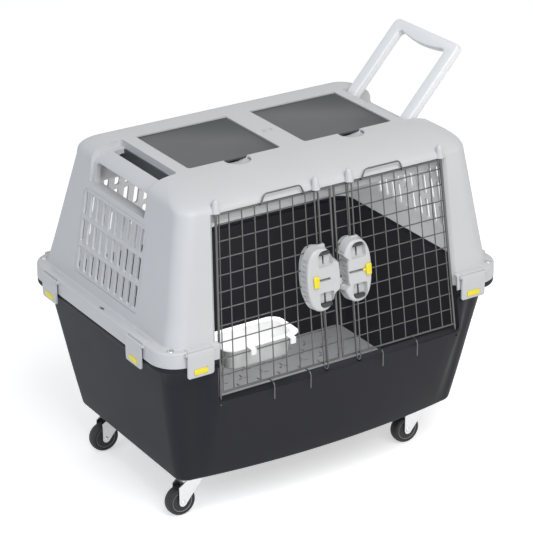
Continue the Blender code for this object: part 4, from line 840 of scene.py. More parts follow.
@dataclass
class BaseTub:
    """The dark moulded tub: leaning walls, a bay round the doors, a rim bead, a sill, door posts and pads.

    Attributes:
        form: the shared lines.
        post: width of a post beside the opening.
        post_depth: how far a post reaches behind the door plane.
        shelf_back: distance from the middle to the rear of the sill's shelf.
        fillet: radius of the tub's lower edge.
        corner: radius of the opening's lower corners.
        pad: length and width of a caster's pad.
    """

    form: Form = field(default_factory=Form)
    post: float = 0.003
    post_depth: float = 0.010
    shelf_back: float = 0.2580
    fillet: float = 0.0075
    corner: float = 0.012
    pad: tuple[float, float] = (0.054, 0.046)

    def walls(self) -> Piece:
        """Draw the tub's wall from its bottom edge up over the rim and down inside."""
        form = self.form
        top = form.z_rim - form.rim
        bead = form.z_bead
        mid, waist = lerp(form.z_tub, form.z_sill, 0.5), lerp(form.z_sill, bead, 0.45)
        soft = self.fillet
        rings = [form.tub_ring(form.z_tub, soft)]
        rings += [form.tub_ring(form.z_tub + soft * (1 - c), soft * (1 - s)) for s, c in quarter(5, 1)]
        low, high = lerp(form.z_tub, mid, 0.5), lerp(mid, form.z_sill, 0.5)
        rings += [form.tub_ring(z) for z in (low, mid, high, form.z_sill, waist, bead - 0.0090)]
        rings += [form.tub_ring(bead - 0.0050, -0.0030), form.tub_ring(bead - 0.0022, -0.0090)]
        rings.append(form.skirt_ring(bead, form.bead_inset + 0.0010))
        rings.append(form.skirt_ring(bead + 0.0006, form.bead_inset - 0.0016))
        rings += [form.skirt_ring(bead + 0.0020, 0.0010), form.skirt_ring(bead + 0.0040, 0.0005)]
        seat = form.z_skirt - form.run
        rings += [form.skirt_ring(seat - 0.0012, 0.0005), form.skirt_ring(seat, 0.0017)]
        flange = form.wall + form.rim_gap
        rings += [form.skirt_ring(seat, flange), form.skirt_ring(form.z_rim, flange)]
        rings += [form.foot_ring(form.z_rim, form.wall + form.run), form.foot_ring(top, form.wall + form.run)]
        for z in (top - 0.006, waist, form.z_sill, mid, form.z_tub + 0.014):
            rings.append(form.tub_ring(z, form.wall))
        rings.append(form.tub_ring(form.z_tub + form.wall + 0.003, form.wall + 0.004))
        rings.append(form.tub_ring(form.z_tub + form.wall, form.wall + 0.012))
        return skin("base_tub_piece", rings)

    def inner_form(self) -> Piece:
        """The tub's wall as a solid, a little inside its outer skin, for what joins the wall from within."""
        form = self.form
        heights = (form.z_tub + 0.012, lerp(form.z_tub, form.z_sill, 0.5), form.z_sill)
        heights += (lerp(form.z_sill, form.z_bead, 0.45), form.z_bead - 0.009, form.z_rim - form.rim / 2)
        return skin("inner_form", [form.tub_ring(z, form.wall / 2) for z in heights])

    def sill(self) -> Piece:
        """The shelf behind the front wall at the sill."""
        form = self.form
        half = form.door_edge(form.z_sill) + form.jamb_gap + self.post / 2
        low = (-half, AHEAD, form.z_sill - form.wall - 0.001)
        shelf = block("shelf", low, (half, -self.shelf_back, form.z_sill + 0.002))
        return work(shelf, Work.KEEP, self.inner_form())

    def posts(self) -> Piece:
        """The posts beside the opening."""
        form = self.form
        posts = []
        for side in Side:
            rings = []
            for z in (form.z_sill - form.wall, form.z_rim + 0.01):
                x0 = side.value * (form.door_edge(z) + form.jamb_gap - form.run)
                x1 = side.value * (form.door_edge(z) + form.jamb_gap + self.post)
                back = form.door_y(z) + self.post_depth
                rings.append(box_ring(x0, x1, AHEAD, back, z))
            posts.append(skin("post", rings))
        return work(gather("posts", posts), Work.KEEP, self.inner_form())

    def opening(self) -> Piece:
        """What the door opening takes out of the front wall, its lower corners rounded."""
        form = self.form
        corner = self.corner
        outline = []
        for side in (Side.RIGHT, Side.LEFT):
            foot, top = form.z_sill, form.z_rim + 0.02
            ends = [Vector((side.value * (form.door_edge(top) + form.jamb_gap), AHEAD, top))]
            edge = side.value * (form.door_edge(foot) + form.jamb_gap)
            for s, c in quarter(6):
                ends.append(Vector((edge - side.value * corner * (1 - c), AHEAD, foot + corner * (1 - s))))
            outline += ends if side is Side.RIGHT else list(reversed(ends))
        return plate("opening", outline, Vector((0, 0.10, 0)))

    def holes(self) -> Piece:
        """The sill's holes for the hinge wires and the lower rods."""
        form = self.form
        holes = []
        for side in Side:
            hinge = form.on_door(side.value * form.door_edge(form.z_sill), form.z_sill)
            tip = form.on_door(side.value * form.rod_x, form.z_sill, form.rod_out)
            slant = form.hinge_line(side)
            holes.append(bar("hole", hinge - slant * 0.012, hinge + slant * 0.012, form.pin_hole, 24))
            holes.append(bar("hole", tip - form.door_up * 0.012, tip + form.door_up * 0.012, form.rod_hole, 24))
        return gather("holes", holes)

    def pads(self) -> Piece:
        """Four pads below the tub, for the casters."""
        form = self.form
        pads = []
        for x in (-form.caster[0], form.caster[0]):
            for y in (-form.caster[1], form.caster[1]):
                flat = rounded(self.pad[0] / 2, -self.pad[1] / 2, self.pad[1] / 2, 0.008, 0.008)
                low = [Vector((x + u, y + v, form.pad_height)) for u, v in flat]
                pads.append(plate("pad", low, UP * (form.pad_drop + form.wall / 2)))
        return gather("pads", pads)

    def build(self) -> None:
        """Make the tub and hand it over."""
        tub = flattened(self.walls())
        work(tub, Work.JOIN, self.sill(), self.posts(), self.pads())
        work(tub, Work.CUT, self.opening(), self.holes())
        hand_over(smooth(tub), "crate", TUB, "tub", "base_tub")


@dataclass
class FloorPanel:
    """The loose panel on the tub's bottom, with rows of slot triangles.

    Attributes:
        form: the shared lines.
        gap: panel to the tub's walls.
        thick: thickness of the panel.
        row_pitch: distance between rows of slots, front to rear.
        pair_pitch: distance between clusters along a row.
        slot: length and width of a slot.
        rows: rows of clusters.
        columns: clusters in a row.
        spread: furthest place of a cluster along X and Y.
    """

    form: Form = field(default_factory=Form)
    gap: float = 0.004
    thick: float = 0.004
    row_pitch: float = 0.031
    pair_pitch: float = 0.0503
    slot: tuple[float, float] = (0.0110, 0.0032)
    rows: int = 11
    columns: int = 11
    spread: tuple[float, float] = (0.285, 0.175)

    def cluster(self) -> Piece:
        """Three slots that point at a middle, as one cutter."""
        cutters = []
        low = self.form.z_tub
        for way in (90, 210, 330):
            along = Vector((math.cos(math.radians(way)), math.sin(math.radians(way)), 0))
            across = Vector((-along.y, along.x, 0))
            points = []
            for u, v in rounded(self.slot[1] / 2, 0.0022, 0.0022 + self.slot[0], 0.0015, 0.0015, 3):
                points.append(across * u + along * v + UP * low)
            cutters.append(plate("slot", points, UP * 0.03))
        return gather("cluster", cutters)

    def build(self) -> None:
        """Make the panel and hand it over."""
        form = self.form
        low = form.z_tub + form.wall + form.fit
        inset = form.wall + self.gap
        levels = [(low, 0.0120), (low + 0.0040, 0.0060)]
        levels += [(low + 0.0030 + self.thick, 0.0045), (low + 0.0040 + self.thick, 0.0060)]
        panel = skin("floor_panel_piece", [form.tub_ring(z, inset + more) for z, more in levels])
        first = self.cluster()
        cutters = []
        for row in range(self.rows):
            y = (row - (self.rows - 1) / 2) * self.row_pitch
            for column in range(self.columns):
                x = (column - (self.columns - 1) / 2 + (row % 2) * 0.5) * self.pair_pitch
                if abs(x) < self.spread[0] and abs(y) < self.spread[1]:
                    cutters.append(copy_of(first, "cluster", Vector((x, y, 0))))
        bpy.data.objects.remove(first)
        work(panel, Work.CUT, gather("clusters", cutters))
        hand_over(smooth(panel), "crate", PANEL, "panel", "floor_panel")


# Upper shell


@dataclass
class UpperShell:
    """The light moulded top: skirt, ledge, walls, a soft header, two storage wells, a grip and a bail recess.

    Attributes:
        form: the shared lines.
        roof_steps: rings in the roof's rounding.
        cove, lip: radius of the cove over the ledge, and of the ledge's outer edge.
        jamb: width of the returns beside the opening.
        chamfer: width and depth of the slope along the opening's sides.
        land_back, head_land: how far the opening's edges reach behind the doors, and up behind the header.
        socket, socket_rise, socket_bore: radius, height and bore depth of the header's sockets.
        lid_inset: rebate's rear to the hinge pins.
        well_depth, well_ledge: depth of a storage well, and the ledge round it.
        scoop, scoop_ahead: radius and depth of a finger scoop, and how far ahead of the lid its middle lies.
        pin_slack: how much wider than its pin a bore is.
        trough: half width of the trough over a lid's pins.
        mark, mark_y: half length, half depth and sink of the mark between the lids, and its place.
        grip_inner, grip_half, grip_foot: inner wall, half width and foot of the grip's recess.
        grip_in, grip_down, grip_thick: how far the bar lies inside the shell's end, below it, and its thickness.
        grip_slot, grip_slot_half, grip_opening_top: the slot behind the bar, and the top of the opening below it.
        grip_lip: roof to the top of the dark strip that paints the shade deep in the grip recess.
        bail_fold, bail_seat, bail_inner: slope of the bail's recess in degrees, pivot to its floor, its inner wall.
        bail_boss: radius of the bosses round its pins.
        screw_hole, screw_seat: radius of the screws' holes and of their sunk seats.
        ear: thickness of the ears beside a flap's barrel.
        ear_reach: how far an ear reaches below and above the flap's seat.
        slot_place, slot_half: places of the ledge's end slots, and their half length and half width.
    """

    form: Form = field(default_factory=Form)
    roof_steps: int = 14
    cove: float = 0.0040
    lip: float = 0.0045
    jamb: float = 0.0085
    chamfer: tuple[float, float] = (0.0065, 0.0060)
    land_back: float = 0.0100
    head_land: float = 0.0223
    socket: float = 0.0080
    socket_rise: float = 0.0270
    socket_bore: float = 0.0140
    lid_inset: float = 0.0040
    well_depth: float = 0.040
    well_ledge: float = 0.006
    scoop: tuple[float, float] = (0.027, 0.013)
    scoop_ahead: float = 0.007
    pin_slack: float = 0.0005
    trough: float = 0.0036
    mark: tuple[float, float, float] = (0.0105, 0.0055, 0.0014)
    mark_y: float = -0.0080
    grip_inner: float = 0.2600
    grip_half: float = 0.1065
    grip_foot: float = 0.0746
    grip_in: float = 0.006
    grip_down: float = 0.012
    grip_thick: float = 0.010
    grip_slot: float = 0.0260
    grip_slot_half: float = 0.0900
    grip_opening_top: float = 0.0332
    grip_lip: float = 0.0140
    bail_fold: float = -12.0
    bail_seat: float = 0.0090
    bail_inner: float = 0.2545
    bail_boss: float = 0.0085
    screw_hole: float = 0.0025
    screw_seat: float = 0.0066
    ear: float = 0.003
    ear_reach: tuple[float, float] = (0.0045, 0.0030)
    slot_place: tuple[float, float] = (0.3825, -0.019)
    slot_half: tuple[float, float] = (0.0080, 0.0028)

    def walls(self) -> Piece:
        """Draw the shell's skin from the roof down over the skirt and back up inside."""
        form = self.form
        rings = list(reversed(form.roof_rings(self.roof_steps)))
        foot = form.z_ledge
        for share in (0.75, 0.5, 0.25):
            rings.append(form.shell_ring(lerp(foot, form.z_eaves, share)))
        rings += [form.foot_ring(foot + self.cove * (1 - s), -self.cove * (1 - c)) for s, c in quarter(4, 1)]
        lip, last = self.lip, 0.0004
        rings.append(form.skirt_ring(foot, lip))
        rings += [form.skirt_ring(foot - lip * (1 - c), last + (lip - last) * (1 - s)) for s, c in quarter(4, 1)]
        rings += [form.skirt_ring(form.z_skirt + 0.0012, 0.0), form.skirt_ring(form.z_skirt, 0.0012)]
        rings += [form.skirt_ring(form.z_skirt, form.wall), form.skirt_ring(foot - form.wall, form.wall)]
        rings += [form.foot_ring(foot - form.wall), form.foot_ring(form.z_rim + form.fit)]
        rings += [form.foot_ring(form.z_rim + form.fit, form.wall), form.foot_ring(foot, form.wall)]
        return skin("upper_shell_piece", rings + form.roof_rings(self.roof_steps, form.wall))

    def inner_form(self, inset: float) -> Piece:
        """The shell's form a little inside its outer skin, for what joins the skin from within."""
        form = self.form
        return skin("inner_form", [form.shell_ring(form.z_ledge, inset)] + form.roof_rings(self.roof_steps, inset))

    def outer_form(self) -> Piece:
        """The shell's outer form as a solid, from the ledge up."""
        form = self.form
        return skin("outer_form", [form.shell_ring(form.z_ledge)] + form.roof_rings(self.roof_steps))

    def opening(self) -> Piece:
        """What the door opening takes out of the front."""
        form = self.form
        outline = []
        for z, side in ((form.z_skirt - 0.02, 1), (form.z_head, 1), (form.z_head, -1), (form.z_skirt - 0.02, -1)):
            outline.append(Vector((side * (form.door_edge(z) + form.jamb_gap), AHEAD, z)))
        back = form.door_y(form.z_head) + self.land_back + form.wall * 2
        return plate("opening", outline, Vector((0, back - AHEAD, 0)))

    def chamfers(self) -> Piece:
        """What the soft slope along the opening's sides takes away."""
        form = self.form
        wide, deep = self.chamfer
        cutters = []
        for side in Side:
            rings = []
            for z in (form.z_rim - 0.03, form.z_head - 0.0002):
                edge = side.value * (form.door_edge(z) + form.jamb_gap)
                front, back = form.face + 0.002, form.face - deep
                slope = edge + side.value * (wide * (1 + 0.002 / deep))
                past = edge - side.value * 0.01
                places = ((slope, front), (edge, back), (past, back), (past, front))
                rings.append([form.on_door(x, z, out) for x, out in places])
            cutters.append(skin("chamfer", rings))
        return gather("chamfers", cutters)

    def header(self) -> Piece:
        """The header's underside, from the front face back past the doors."""
        form = self.form
        half = form.door_edge(form.z_head) + form.jamb_gap + self.jamb * 0.6
        front, back = form.door_y(form.z_head) - form.face + form.run / 2, form.door_y(form.z_head) + self.land_back
        return block("header", (-half, front, form.z_head), (half, back, form.z_head + form.wall))

    def jambs(self) -> Piece:
        """Returns along the opening's edges, from the front face back past the doors."""
        form = self.form
        jambs = []
        for side in Side:
            rings = []
            for z in (form.z_rim + form.fit, form.z_head + form.wall / 2):
                x0 = side.value * (form.door_edge(z) + form.jamb_gap)
                x1 = x0 + side.value * self.jamb
                front = form.door_y(z) - form.face + form.run / 2
                back = form.door_y(z) + self.land_back + form.wall
                rings.append(box_ring(x0, x1, front, back, z))
            jambs.append(skin("jamb", rings))
        return gather("jambs", jambs)

    def socket_axes(self) -> list[tuple[Vector, Vector, float]]:
        """Foot, direction and hole radius of each socket in the header."""
        form = self.form
        axes = []
        for side in Side:
            hinge = form.on_door(side.value * form.door_edge(form.z_head), form.z_head)
            rod = form.on_door(side.value * form.rod_x, form.z_head, form.rod_out)
            axes += [(hinge, form.hinge_line(side), form.pin_hole), (rod, form.door_up, form.rod_hole)]
        return axes

    def sockets(self) -> Piece:
        """Rounded bosses that stand out of the header over each hinge wire and rod."""
        sockets = []
        for foot, up, _ in self.socket_axes():
            profile = [(0.0002, self.socket * 1.1), (self.socket_rise * 0.60, self.socket * 0.85)]
            for s, c in quarter(6, 1):
                profile.append((self.socket_rise * (0.60 + 0.40 * s), max(self.socket * 0.85 * c, 0.0004)))
            sockets.append(turned("socket", foot, up, profile, 28))
        return gather("sockets", sockets)

    def socket_bores(self) -> Piece:
        """The holes in the sockets."""
        bores = []
        for foot, up, radius in self.socket_axes():
            bores.append(bar("bore", foot - up * 0.004, foot + up * self.socket_bore, radius, 24))
        return gather("bores", bores)

    def scoop_middle(self, side: Side, z: float) -> Vector:
        """The middle of a lid's finger scoop, at a height."""
        x0, x1 = self.form.span(side)
        return Vector(((x0 + x1) / 2, -self.form.lid_front - self.scoop_ahead, z))

    def lid_frames(self) -> Piece:
        """The well under each lid, the frame round its rebate and the wall under its finger scoop."""
        form = self.form
        wall, front, rear, ledge = form.wall, -form.lid_front, form.lid_rear, form.z_lid_ledge
        inset = self.well_ledge - wall
        radius, deep = self.scoop
        frames = []
        for side in Side:
            x0, x1 = form.span(side)
            high = (x1 + wall, rear + wall, form.z_roof - wall / 2)
            collar = block("collar", (x0 - wall, front - wall, ledge - wall), high)
            low = (x0 + inset, front + inset, form.z_roof - self.well_depth - wall)
            well = block("well", low, (x1 - inset, rear + wall, ledge - wall / 2))
            centre = self.scoop_middle(side, form.z_roof - deep - wall)
            scoop = turned("scoop", centre, UP, ((0, radius), (0.01, radius + wall)), 32)
            frames.append(work(collar, Work.JOIN, well, scoop))
        return gather("frames", frames)

    def lid_pockets(self) -> Piece:
        """Cuts for each lid's rebate, its well, its finger scoop, its hinge pins and the mark between the lids."""
        form = self.form
        front, rear, ledge, edge = -form.lid_front, form.lid_rear, form.z_lid_ledge, self.well_ledge
        y, z = rear - self.lid_inset, form.z_roof - form.lid_sink - form.lid_thick / 2
        pockets = []
        for side in Side:
            x0, x1 = form.span(side)
            rebate = self.rounded_cut((x0, x1), (front, rear), (ledge, form.z_roof + 0.01), 0.006)
            heights = (form.z_roof - self.well_depth, ledge + 0.001)
            well = self.rounded_cut((x0 + edge, x1 - edge), (front + edge, rear), heights, 0.008)
            centre = self.scoop_middle(side, form.z_roof + 0.0005)
            rings = []
            for step in range(9):
                angle = math.radians(90 * step / 8.4)
                low = centre - Vector((0, 0, self.scoop[1] * math.sin(angle)))
                rings.append(circle(low, UP, self.scoop[0] * math.cos(angle), 40))
            radius = form.lid_pin + self.pin_slack
            pin = bar("pin", Vector((x0 - 0.0025, y, z)), Vector((x1 + 0.0025, y, z)), radius, 16)
            trough = block("trough", (x0, y - self.trough, z - self.trough), (x1, rear, form.z_roof))
            pockets.append(work(rebate, Work.JOIN, well, skin("scoop", rings), pin, trough))
        half_x, half_y, deep = self.mark
        top, place = form.z_roof, self.mark_y
        mark = block("mark", (-half_x, place - half_y, top - deep), (half_x, place + half_y, top + 0.01))
        half_x, half_y = half_x * 0.7, half_y * 0.5
        inner = block("mark_tab", (-half_x, place - half_y, top - 0.01), (half_x, place + half_y, top - deep * 0.4))
        pockets.append(work(mark, Work.CUT, inner))
        return gather("pockets", pockets)

    def rounded_cut(self, xs: Sequence[float], ys: Sequence[float], zs: Sequence[float], corner: float) -> Piece:
        """A cutter that is a rounded rectangle seen from above."""
        middle, half = (xs[0] + xs[1]) / 2, (xs[1] - xs[0]) / 2
        outline = [Vector((middle + u, v, zs[0])) for u, v in rounded(half, *ys, corner, corner)]
        return plate("cut", outline, UP * (zs[1] - zs[0]))

    def grip_block(self) -> Piece:
        """Material round the grip recess, hollowed from below so that the bar is a curved strip."""
        form = self.form
        wall = form.wall
        low = (-PAST_END, -self.grip_half - wall, form.z_roof - self.grip_foot - wall)
        grip = block("grip", low, (-self.grip_inner + wall, self.grip_half + wall, form.z_roof + 0.03))
        work(grip, Work.KEEP, self.inner_form(wall / 2))
        low = (-PAST_END, -self.grip_half, form.z_roof - self.grip_foot - 0.03)
        hollow = block("hollow", low, (-self.grip_inner - wall, self.grip_half, form.z_roof + 0.03))
        work(hollow, Work.KEEP, self.lowered_form(self.grip_thick))
        return work(grip, Work.CUT, hollow)

    def lowered_form(self, extra: float) -> Piece:
        """The outer form moved in and down to the grip's surface, or further by the extra."""
        lowered = self.outer_form()
        lowered.location = (self.grip_in + extra, 0, -self.grip_down - extra)
        return settle(lowered)

    def grip_recess(self) -> Piece:
        """What the recess takes away: everything outside the lowered skin, with rounded corners."""
        form = self.form
        flat = rounded(self.grip_half, -0.42, -self.grip_inner, 0.0005, 0.008)
        outline = [Vector((v, -u, form.z_roof - self.grip_foot)) for u, v in flat]
        recess = plate("grip_recess", outline, UP * (self.grip_foot + 0.03))
        return work(recess, Work.CUT, self.lowered_form(0.0))

    def grip_cuts(self) -> Piece:
        """The slot behind the bar and the opening below it."""
        form = self.form
        inner = -self.grip_inner - form.run
        flat = rounded(self.grip_slot_half, inner - self.grip_slot, inner, 0.007, 0.007)
        slot = plate("slot", [Vector((v, -u, form.z_roof - 0.08)) for u, v in flat], UP * 0.09)
        foot = form.z_roof - self.grip_foot + 0.0005
        flat = rounded(self.grip_half - 0.008, foot, form.z_roof - self.grip_opening_top, 0.008, 0.010)
        start = -self.grip_inner - self.grip_slot / 2
        opening = plate("opening", [Vector((start, u, v)) for u, v in flat], Vector((-0.36 - start, 0, 0)))
        return work(slot, Work.JOIN, opening)

    def bail_prism(self, name: str, drop: float, grow: float) -> Piece:
        """The tow handle's recess pushed along Y, grown by a wall on its closed sides."""
        slope = math.tan(math.radians(self.bail_fold))
        z = self.form.z_roof - self.form.bail_drop - self.bail_seat / math.cos(math.radians(self.bail_fold)) - drop
        top = self.form.z_roof + 0.03
        half = self.form.bail_half + grow
        inner = self.bail_inner
        floor = [(x, z + (x - self.form.bail_x) * slope) for x in (inner, PAST_END)]
        points = ((inner - grow, floor[0][1]), floor[1], (PAST_END, top), (inner - grow, top))
        return plate(name, [Vector((x, -half, height)) for x, height in points], Vector((0, 2 * half, 0)))

    def bail_bosses(self, bored: bool) -> Piece:
        """The bosses that carry the tow handle's pins, or their bores."""
        form = self.form
        if bored:
            start, reach, radius = form.bail_half - 0.002, 0.0085, form.bail_pin + self.pin_slack
        else:
            start, reach, radius = form.bail_half + form.wall / 2, 0.009, self.bail_boss
        pieces = []
        for side in Side:
            low = Vector((form.bail_x, side.value * start, form.z_roof - form.bail_drop))
            pieces.append(bar("boss", low, low + Vector((0, side.value * reach, 0)), radius, 28))
        return gather("bosses", pieces)

    def ears(self) -> Piece:
        """Two ears on the skirt for each latch's barrel."""
        ears = []
        for seat in latch_seats():
            for end in (-1, 1):
                inner = self.form.flap_width / 2 + self.form.fit
                rings = []
                for u in (end * inner, end * (inner + self.ear)):
                    foot = seat.point + seat.along * u - seat.out * self.form.wall / 2
                    pivot = seat.pivot() + seat.along * u
                    ring = [foot - UP * self.ear_reach[0]]
                    for step in range(9):
                        angle = math.radians(-90 + 180 * step / 8)
                        way = seat.out * math.cos(angle) + Vector((0, 0, math.sin(angle)))
                        ring.append(pivot + way * self.form.flap_barrel)
                    ring.append(foot + UP * self.ear_reach[1])
                    rings.append(ring)
                ears.append(skin("ear", rings))
        return gather("ears", ears)

    def saddles(self) -> Piece:
        """A low pad on the ledge behind each latch, rounded over the skirt's edge."""
        pads = []
        for seat in latch_seats():
            half, z = self.form.flap_width / 2 - 0.003, self.form.z_ledge - seat.point.z
            profile = ((-0.0170, z - 0.002), (-0.0170, z + 0.0006), (-0.0155, z + 0.0014), (-0.0030, z + 0.0014))
            profile += ((-0.0008, z + 0.0004), (0.0004, z - 0.0016), (0.0004, z - 0.006), (-0.002, z - 0.006))
            start = seat.point - seat.along * half
            outline = [start + seat.out * reach + UP * rise for reach, rise in profile]
            pads.append(plate("saddle", outline, seat.along * (2 * half)))
        return gather("saddles", pads)

    def ledge_slots(self) -> Piece:
        """A slot half way along each end's ledge."""
        slots = []
        for side in Side:
            flat = rounded(self.slot_half[0], -self.slot_half[1], self.slot_half[1], 0.0026, 0.0026)
            x, y = side.value * self.slot_place[0], self.slot_place[1]
            low = [Vector((x + v, y + u, self.form.z_ledge - 0.006)) for u, v in flat]
            slots.append(plate("slot", low, UP * 0.02))
        return gather("slots", slots)

    def screw_holes(self) -> Piece:
        """Sunk holes in the ledge's corners."""
        form = self.form
        holes = []
        for place in screw_places().values():
            low = Vector((*place, form.z_ledge - 0.01))
            seat = low + UP * 0.008
            hole = bar("hole", low, low + UP * 0.0201, self.screw_hole, 16)
            holes.append(work(hole, Work.JOIN, bar("seat", seat, low + UP * 0.02, self.screw_seat, 28)))
        return gather("screw_holes", holes)

    def liner(self) -> Piece:
        """A dark strip on the grip recess's inner wall: painted shade, standing in for the unlit depth of the recess.
        """
        x, top = -self.grip_inner - self.form.wall - 0.0012, self.form.z_roof
        low = (x, -self.grip_half + 0.001, top - self.grip_foot)
        return block("grip_liner_piece", low, (x + 0.0010, self.grip_half - 0.001, top - self.grip_lip))

    def trim(self) -> Piece:
        """The strip behind the door tops, under the header."""
        form = self.form
        front = form.door_y(form.z_head) + self.land_back + form.fit
        half = form.door_edge(form.z_head) + form.jamb_gap - form.fit
        low = form.z_door_top - self.head_land + form.head_gap
        high = form.roof_skin_height(-front) - form.wall * 1.6
        return block("header_trim_piece", (-half, front, low), (half, front + form.wall, high), 0.0009)

    def build(self) -> None:
        """Make the shell, the dark strip of painted shade in the grip recess and the header trim and hand them over.
        """
        wall = self.form.wall
        shell = self.walls()
        bail = work(self.bail_prism("bail_block", wall, wall), Work.KEEP, self.inner_form(wall / 2))
        work(shell, Work.JOIN, self.lid_frames(), self.grip_block(), bail)
        recess = self.opening(), self.lid_pockets(), self.grip_recess(), self.bail_prism("recess", 0, 0)
        work(shell, Work.CUT, *recess)
        work(shell, Work.JOIN, self.header(), self.jambs(), self.sockets(), self.ears(), self.saddles())
        work(shell, Work.JOIN, self.bail_bosses(False))
        work(shell, Work.CUT, self.socket_bores(), self.grip_cuts(), vent_windows(), self.screw_holes())
        work(shell, Work.CUT, self.chamfers(), self.bail_bosses(True), self.ledge_slots())
        hand_over(smooth(shell), "crate", SHELL, "shell", "upper_shell")
        # A dark strip of painted shade on the grip recess's inner wall, in the lid's dark finish
        hand_over(smooth(self.liner()), "crate", LID, "lid")
        hand_over(smooth(self.trim()), "crate", SHELL, "shell", "header_trim")


# Places that the shell shares with what is fitted to it


@dataclass(frozen=True)
class LatchSeat:
    """Where a waist latch hangs.

    Attributes:
        name: the latch's name in the CAD nodes.
        point: a point on the skirt.
        along: the way along its hinge.
        out: the way out of the skirt.
    """

    name: str
    point: Vector
    along: Vector
    out: Vector

    def pivot(self) -> Vector:
        """The middle of the latch's hinge."""
        return self.point + self.out * (FORM.flap_barrel + 0.0008)


def latch_seats() -> list[LatchSeat]:
    """The eight seats round the waist."""
    z = FORM.z_ledge - FORM.flap_sink
    seats = []
    for side in Side:
        for face in Face:
            along = Vector((-face.value, 0, 0))
            point = Vector((side.value * FORM.flap_x - FORM.flap_shift, face.value * FORM.skirt_y, z))
            seats.append(LatchSeat(f"{face.word}_{side.word}", point, along, along.cross(UP)))
            along = Vector((0, side.value, 0))
            point = Vector((side.value * FORM.skirt_x, face.value * FORM.flap_y, z))
            seats.append(LatchSeat(f"{side.word}_{face.word}", point, along, along.cross(UP)))
    return seats


def screw_places() -> dict[str, tuple[float, float]]:
    """The middle of the ledge at each corner."""
    past = 1 - math.sqrt(0.5)
    form = FORM
    x = lerp(form.foot_x - form.foot_corner * past, form.skirt_x - form.skirt_corner * past, form.screw_share)
    y = lerp(form.foot_rear - form.foot_corner * past, form.skirt_y - form.skirt_corner * past, form.screw_share)
    return {f"{face.word}_{side.word}": (side.value * x, face.value * y) for side in Side for face in Face}


@dataclass(frozen=True)
class Wall:
    """The frame of a wall that carries a vent.

    Attributes:
        node: the grille's CAD node.
        foot: the middle of the grille's lower edge.
        along: the way along the wall.
        up: the way up it.
        out: the way out of it.
    """

    node: str
    foot: Vector
    along: Vector
    up: Vector
    out: Vector

    def at(self, u: float, v: float, out: float = 0.0) -> Vector:
        """A point on the wall, or a distance outside it."""
        return self.foot + self.along * u + self.up * v + self.out * out


def vent_walls() -> list[Wall]:
    """The four walls that carry a grille."""
    form = FORM
    walls, rise = [], form.vent_rise
    for side in Side:
        sign = side.value
        up, out = Vector((-sign * form.end_lean, 0, 1)).normalized(), Vector((sign, 0, form.end_lean)).normalized()
        foot = Vector((sign * form.foot_x, 0, form.z_ledge)) + up * rise
        walls.append(Wall("vent_grille_" + side.word, foot, Vector((0, sign, 0)), up, out))
        up, out = Vector((0, -form.rear_lean, 1)).normalized(), Vector((0, 1, form.rear_lean)).normalized()
        foot = Vector((sign * form.vent_x, form.foot_rear, form.z_ledge)) + up * rise
        walls.append(Wall("vent_grille_rear_" + side.word, foot, Vector((-1, 0, 0)), up, out))
    return walls


def vent_outline(grow: float) -> Flat:
    """A grille's outline on its wall, grown on every side."""
    vents = VentGrilles()
    half = vents.columns * vents.pitch / 2 - (vents.pitch - vents.slot[0]) / 2 + vents.border + grow
    high = (vents.rows - 1) * vents.row_pitch + vents.slot[1] + 2 * vents.border + grow
    return rounded(half, -grow, high, 0.008 + grow, 0.018 + grow)


def vent_windows() -> Piece:
    """The windows that the grilles sit in."""
    windows = []
    for wall in vent_walls():
        outline = [wall.at(u, v, -0.02) for u, v in vent_outline(FORM.fit)]
        windows.append(plate("window", outline, wall.out * 0.04))
    return gather("windows", windows)


@dataclass
class VentGrilles:
    """Four slotted panels set into the end and rear walls, with a fine rib between columns of slots.

    Attributes:
        columns: slots across.
        rows: slots up.
        pitch: distance between columns.
        row_pitch: distance between rows.
        slot: width and length of a slot.
        border: panel's edge to the first slots.
        lip: how far the panel's flange reaches behind the wall.
        lip_thick: thickness of the flange.
    """

    columns: int = 10
    rows: int = 3
    pitch: float = 0.0243
    row_pitch: float = 0.056
    slot: tuple[float, float] = (0.0105, 0.047)
    border: float = 0.0070
    lip: float = 0.004
    lip_thick: float = 0.0015

    def panel(self, wall: Wall) -> Piece:
        """A grille for one wall."""
        thick = FORM.wall * math.cos(math.atan(FORM.end_lean)) + FORM.fit
        edge = 0.0006
        layers = ((0, -edge), (-edge, 0), (-thick, 0), (-thick, self.lip), (-thick - self.lip_thick, self.lip))
        rings = [[wall.at(u, v, out) for u, v in vent_outline(grow)] for out, grow in layers]
        grille = skin(wall.node + "_piece", rings)
        first = plate(
            "slot",
            [wall.at(u, v, -0.01) for u, v in rounded(self.slot[0] / 2, 0, self.slot[1], 0.0044, 0.0044)],
            wall.out * 0.02,
        )
        groove = plate(
            "groove",
            [wall.at(u, v, -0.0006) for u, v in rounded(0.0007, -0.0015, self.slot[1] + 0.0015, 0.0005, 0.0005, 2)],
            wall.out * 0.02,
        )
        slots, grooves = [], []
        for row in range(self.rows):
            rise = wall.up * (self.border + row * self.row_pitch)
            for column in range(self.columns):
                shift = wall.along * ((column - (self.columns - 1) / 2) * self.pitch) + rise
                slots.append(copy_of(first, "slot", shift))
                if column:
                    middle = shift - wall.along * (self.pitch / 2)
                    for side in (-1, 1):
                        grooves.append(copy_of(groove, "groove", middle + wall.along * (side * 0.0022)))
        bpy.data.objects.remove(first)
        bpy.data.objects.remove(groove)
        return work(grille, Work.CUT, gather("slots", slots), gather("grooves", grooves))

    def build(self) -> None:
        """Make the four grilles and hand them over."""
        for wall in vent_walls():
            hand_over(smooth(self.panel(wall)), "crate", SHELL, "shell", wall.node)


# Roof fittings


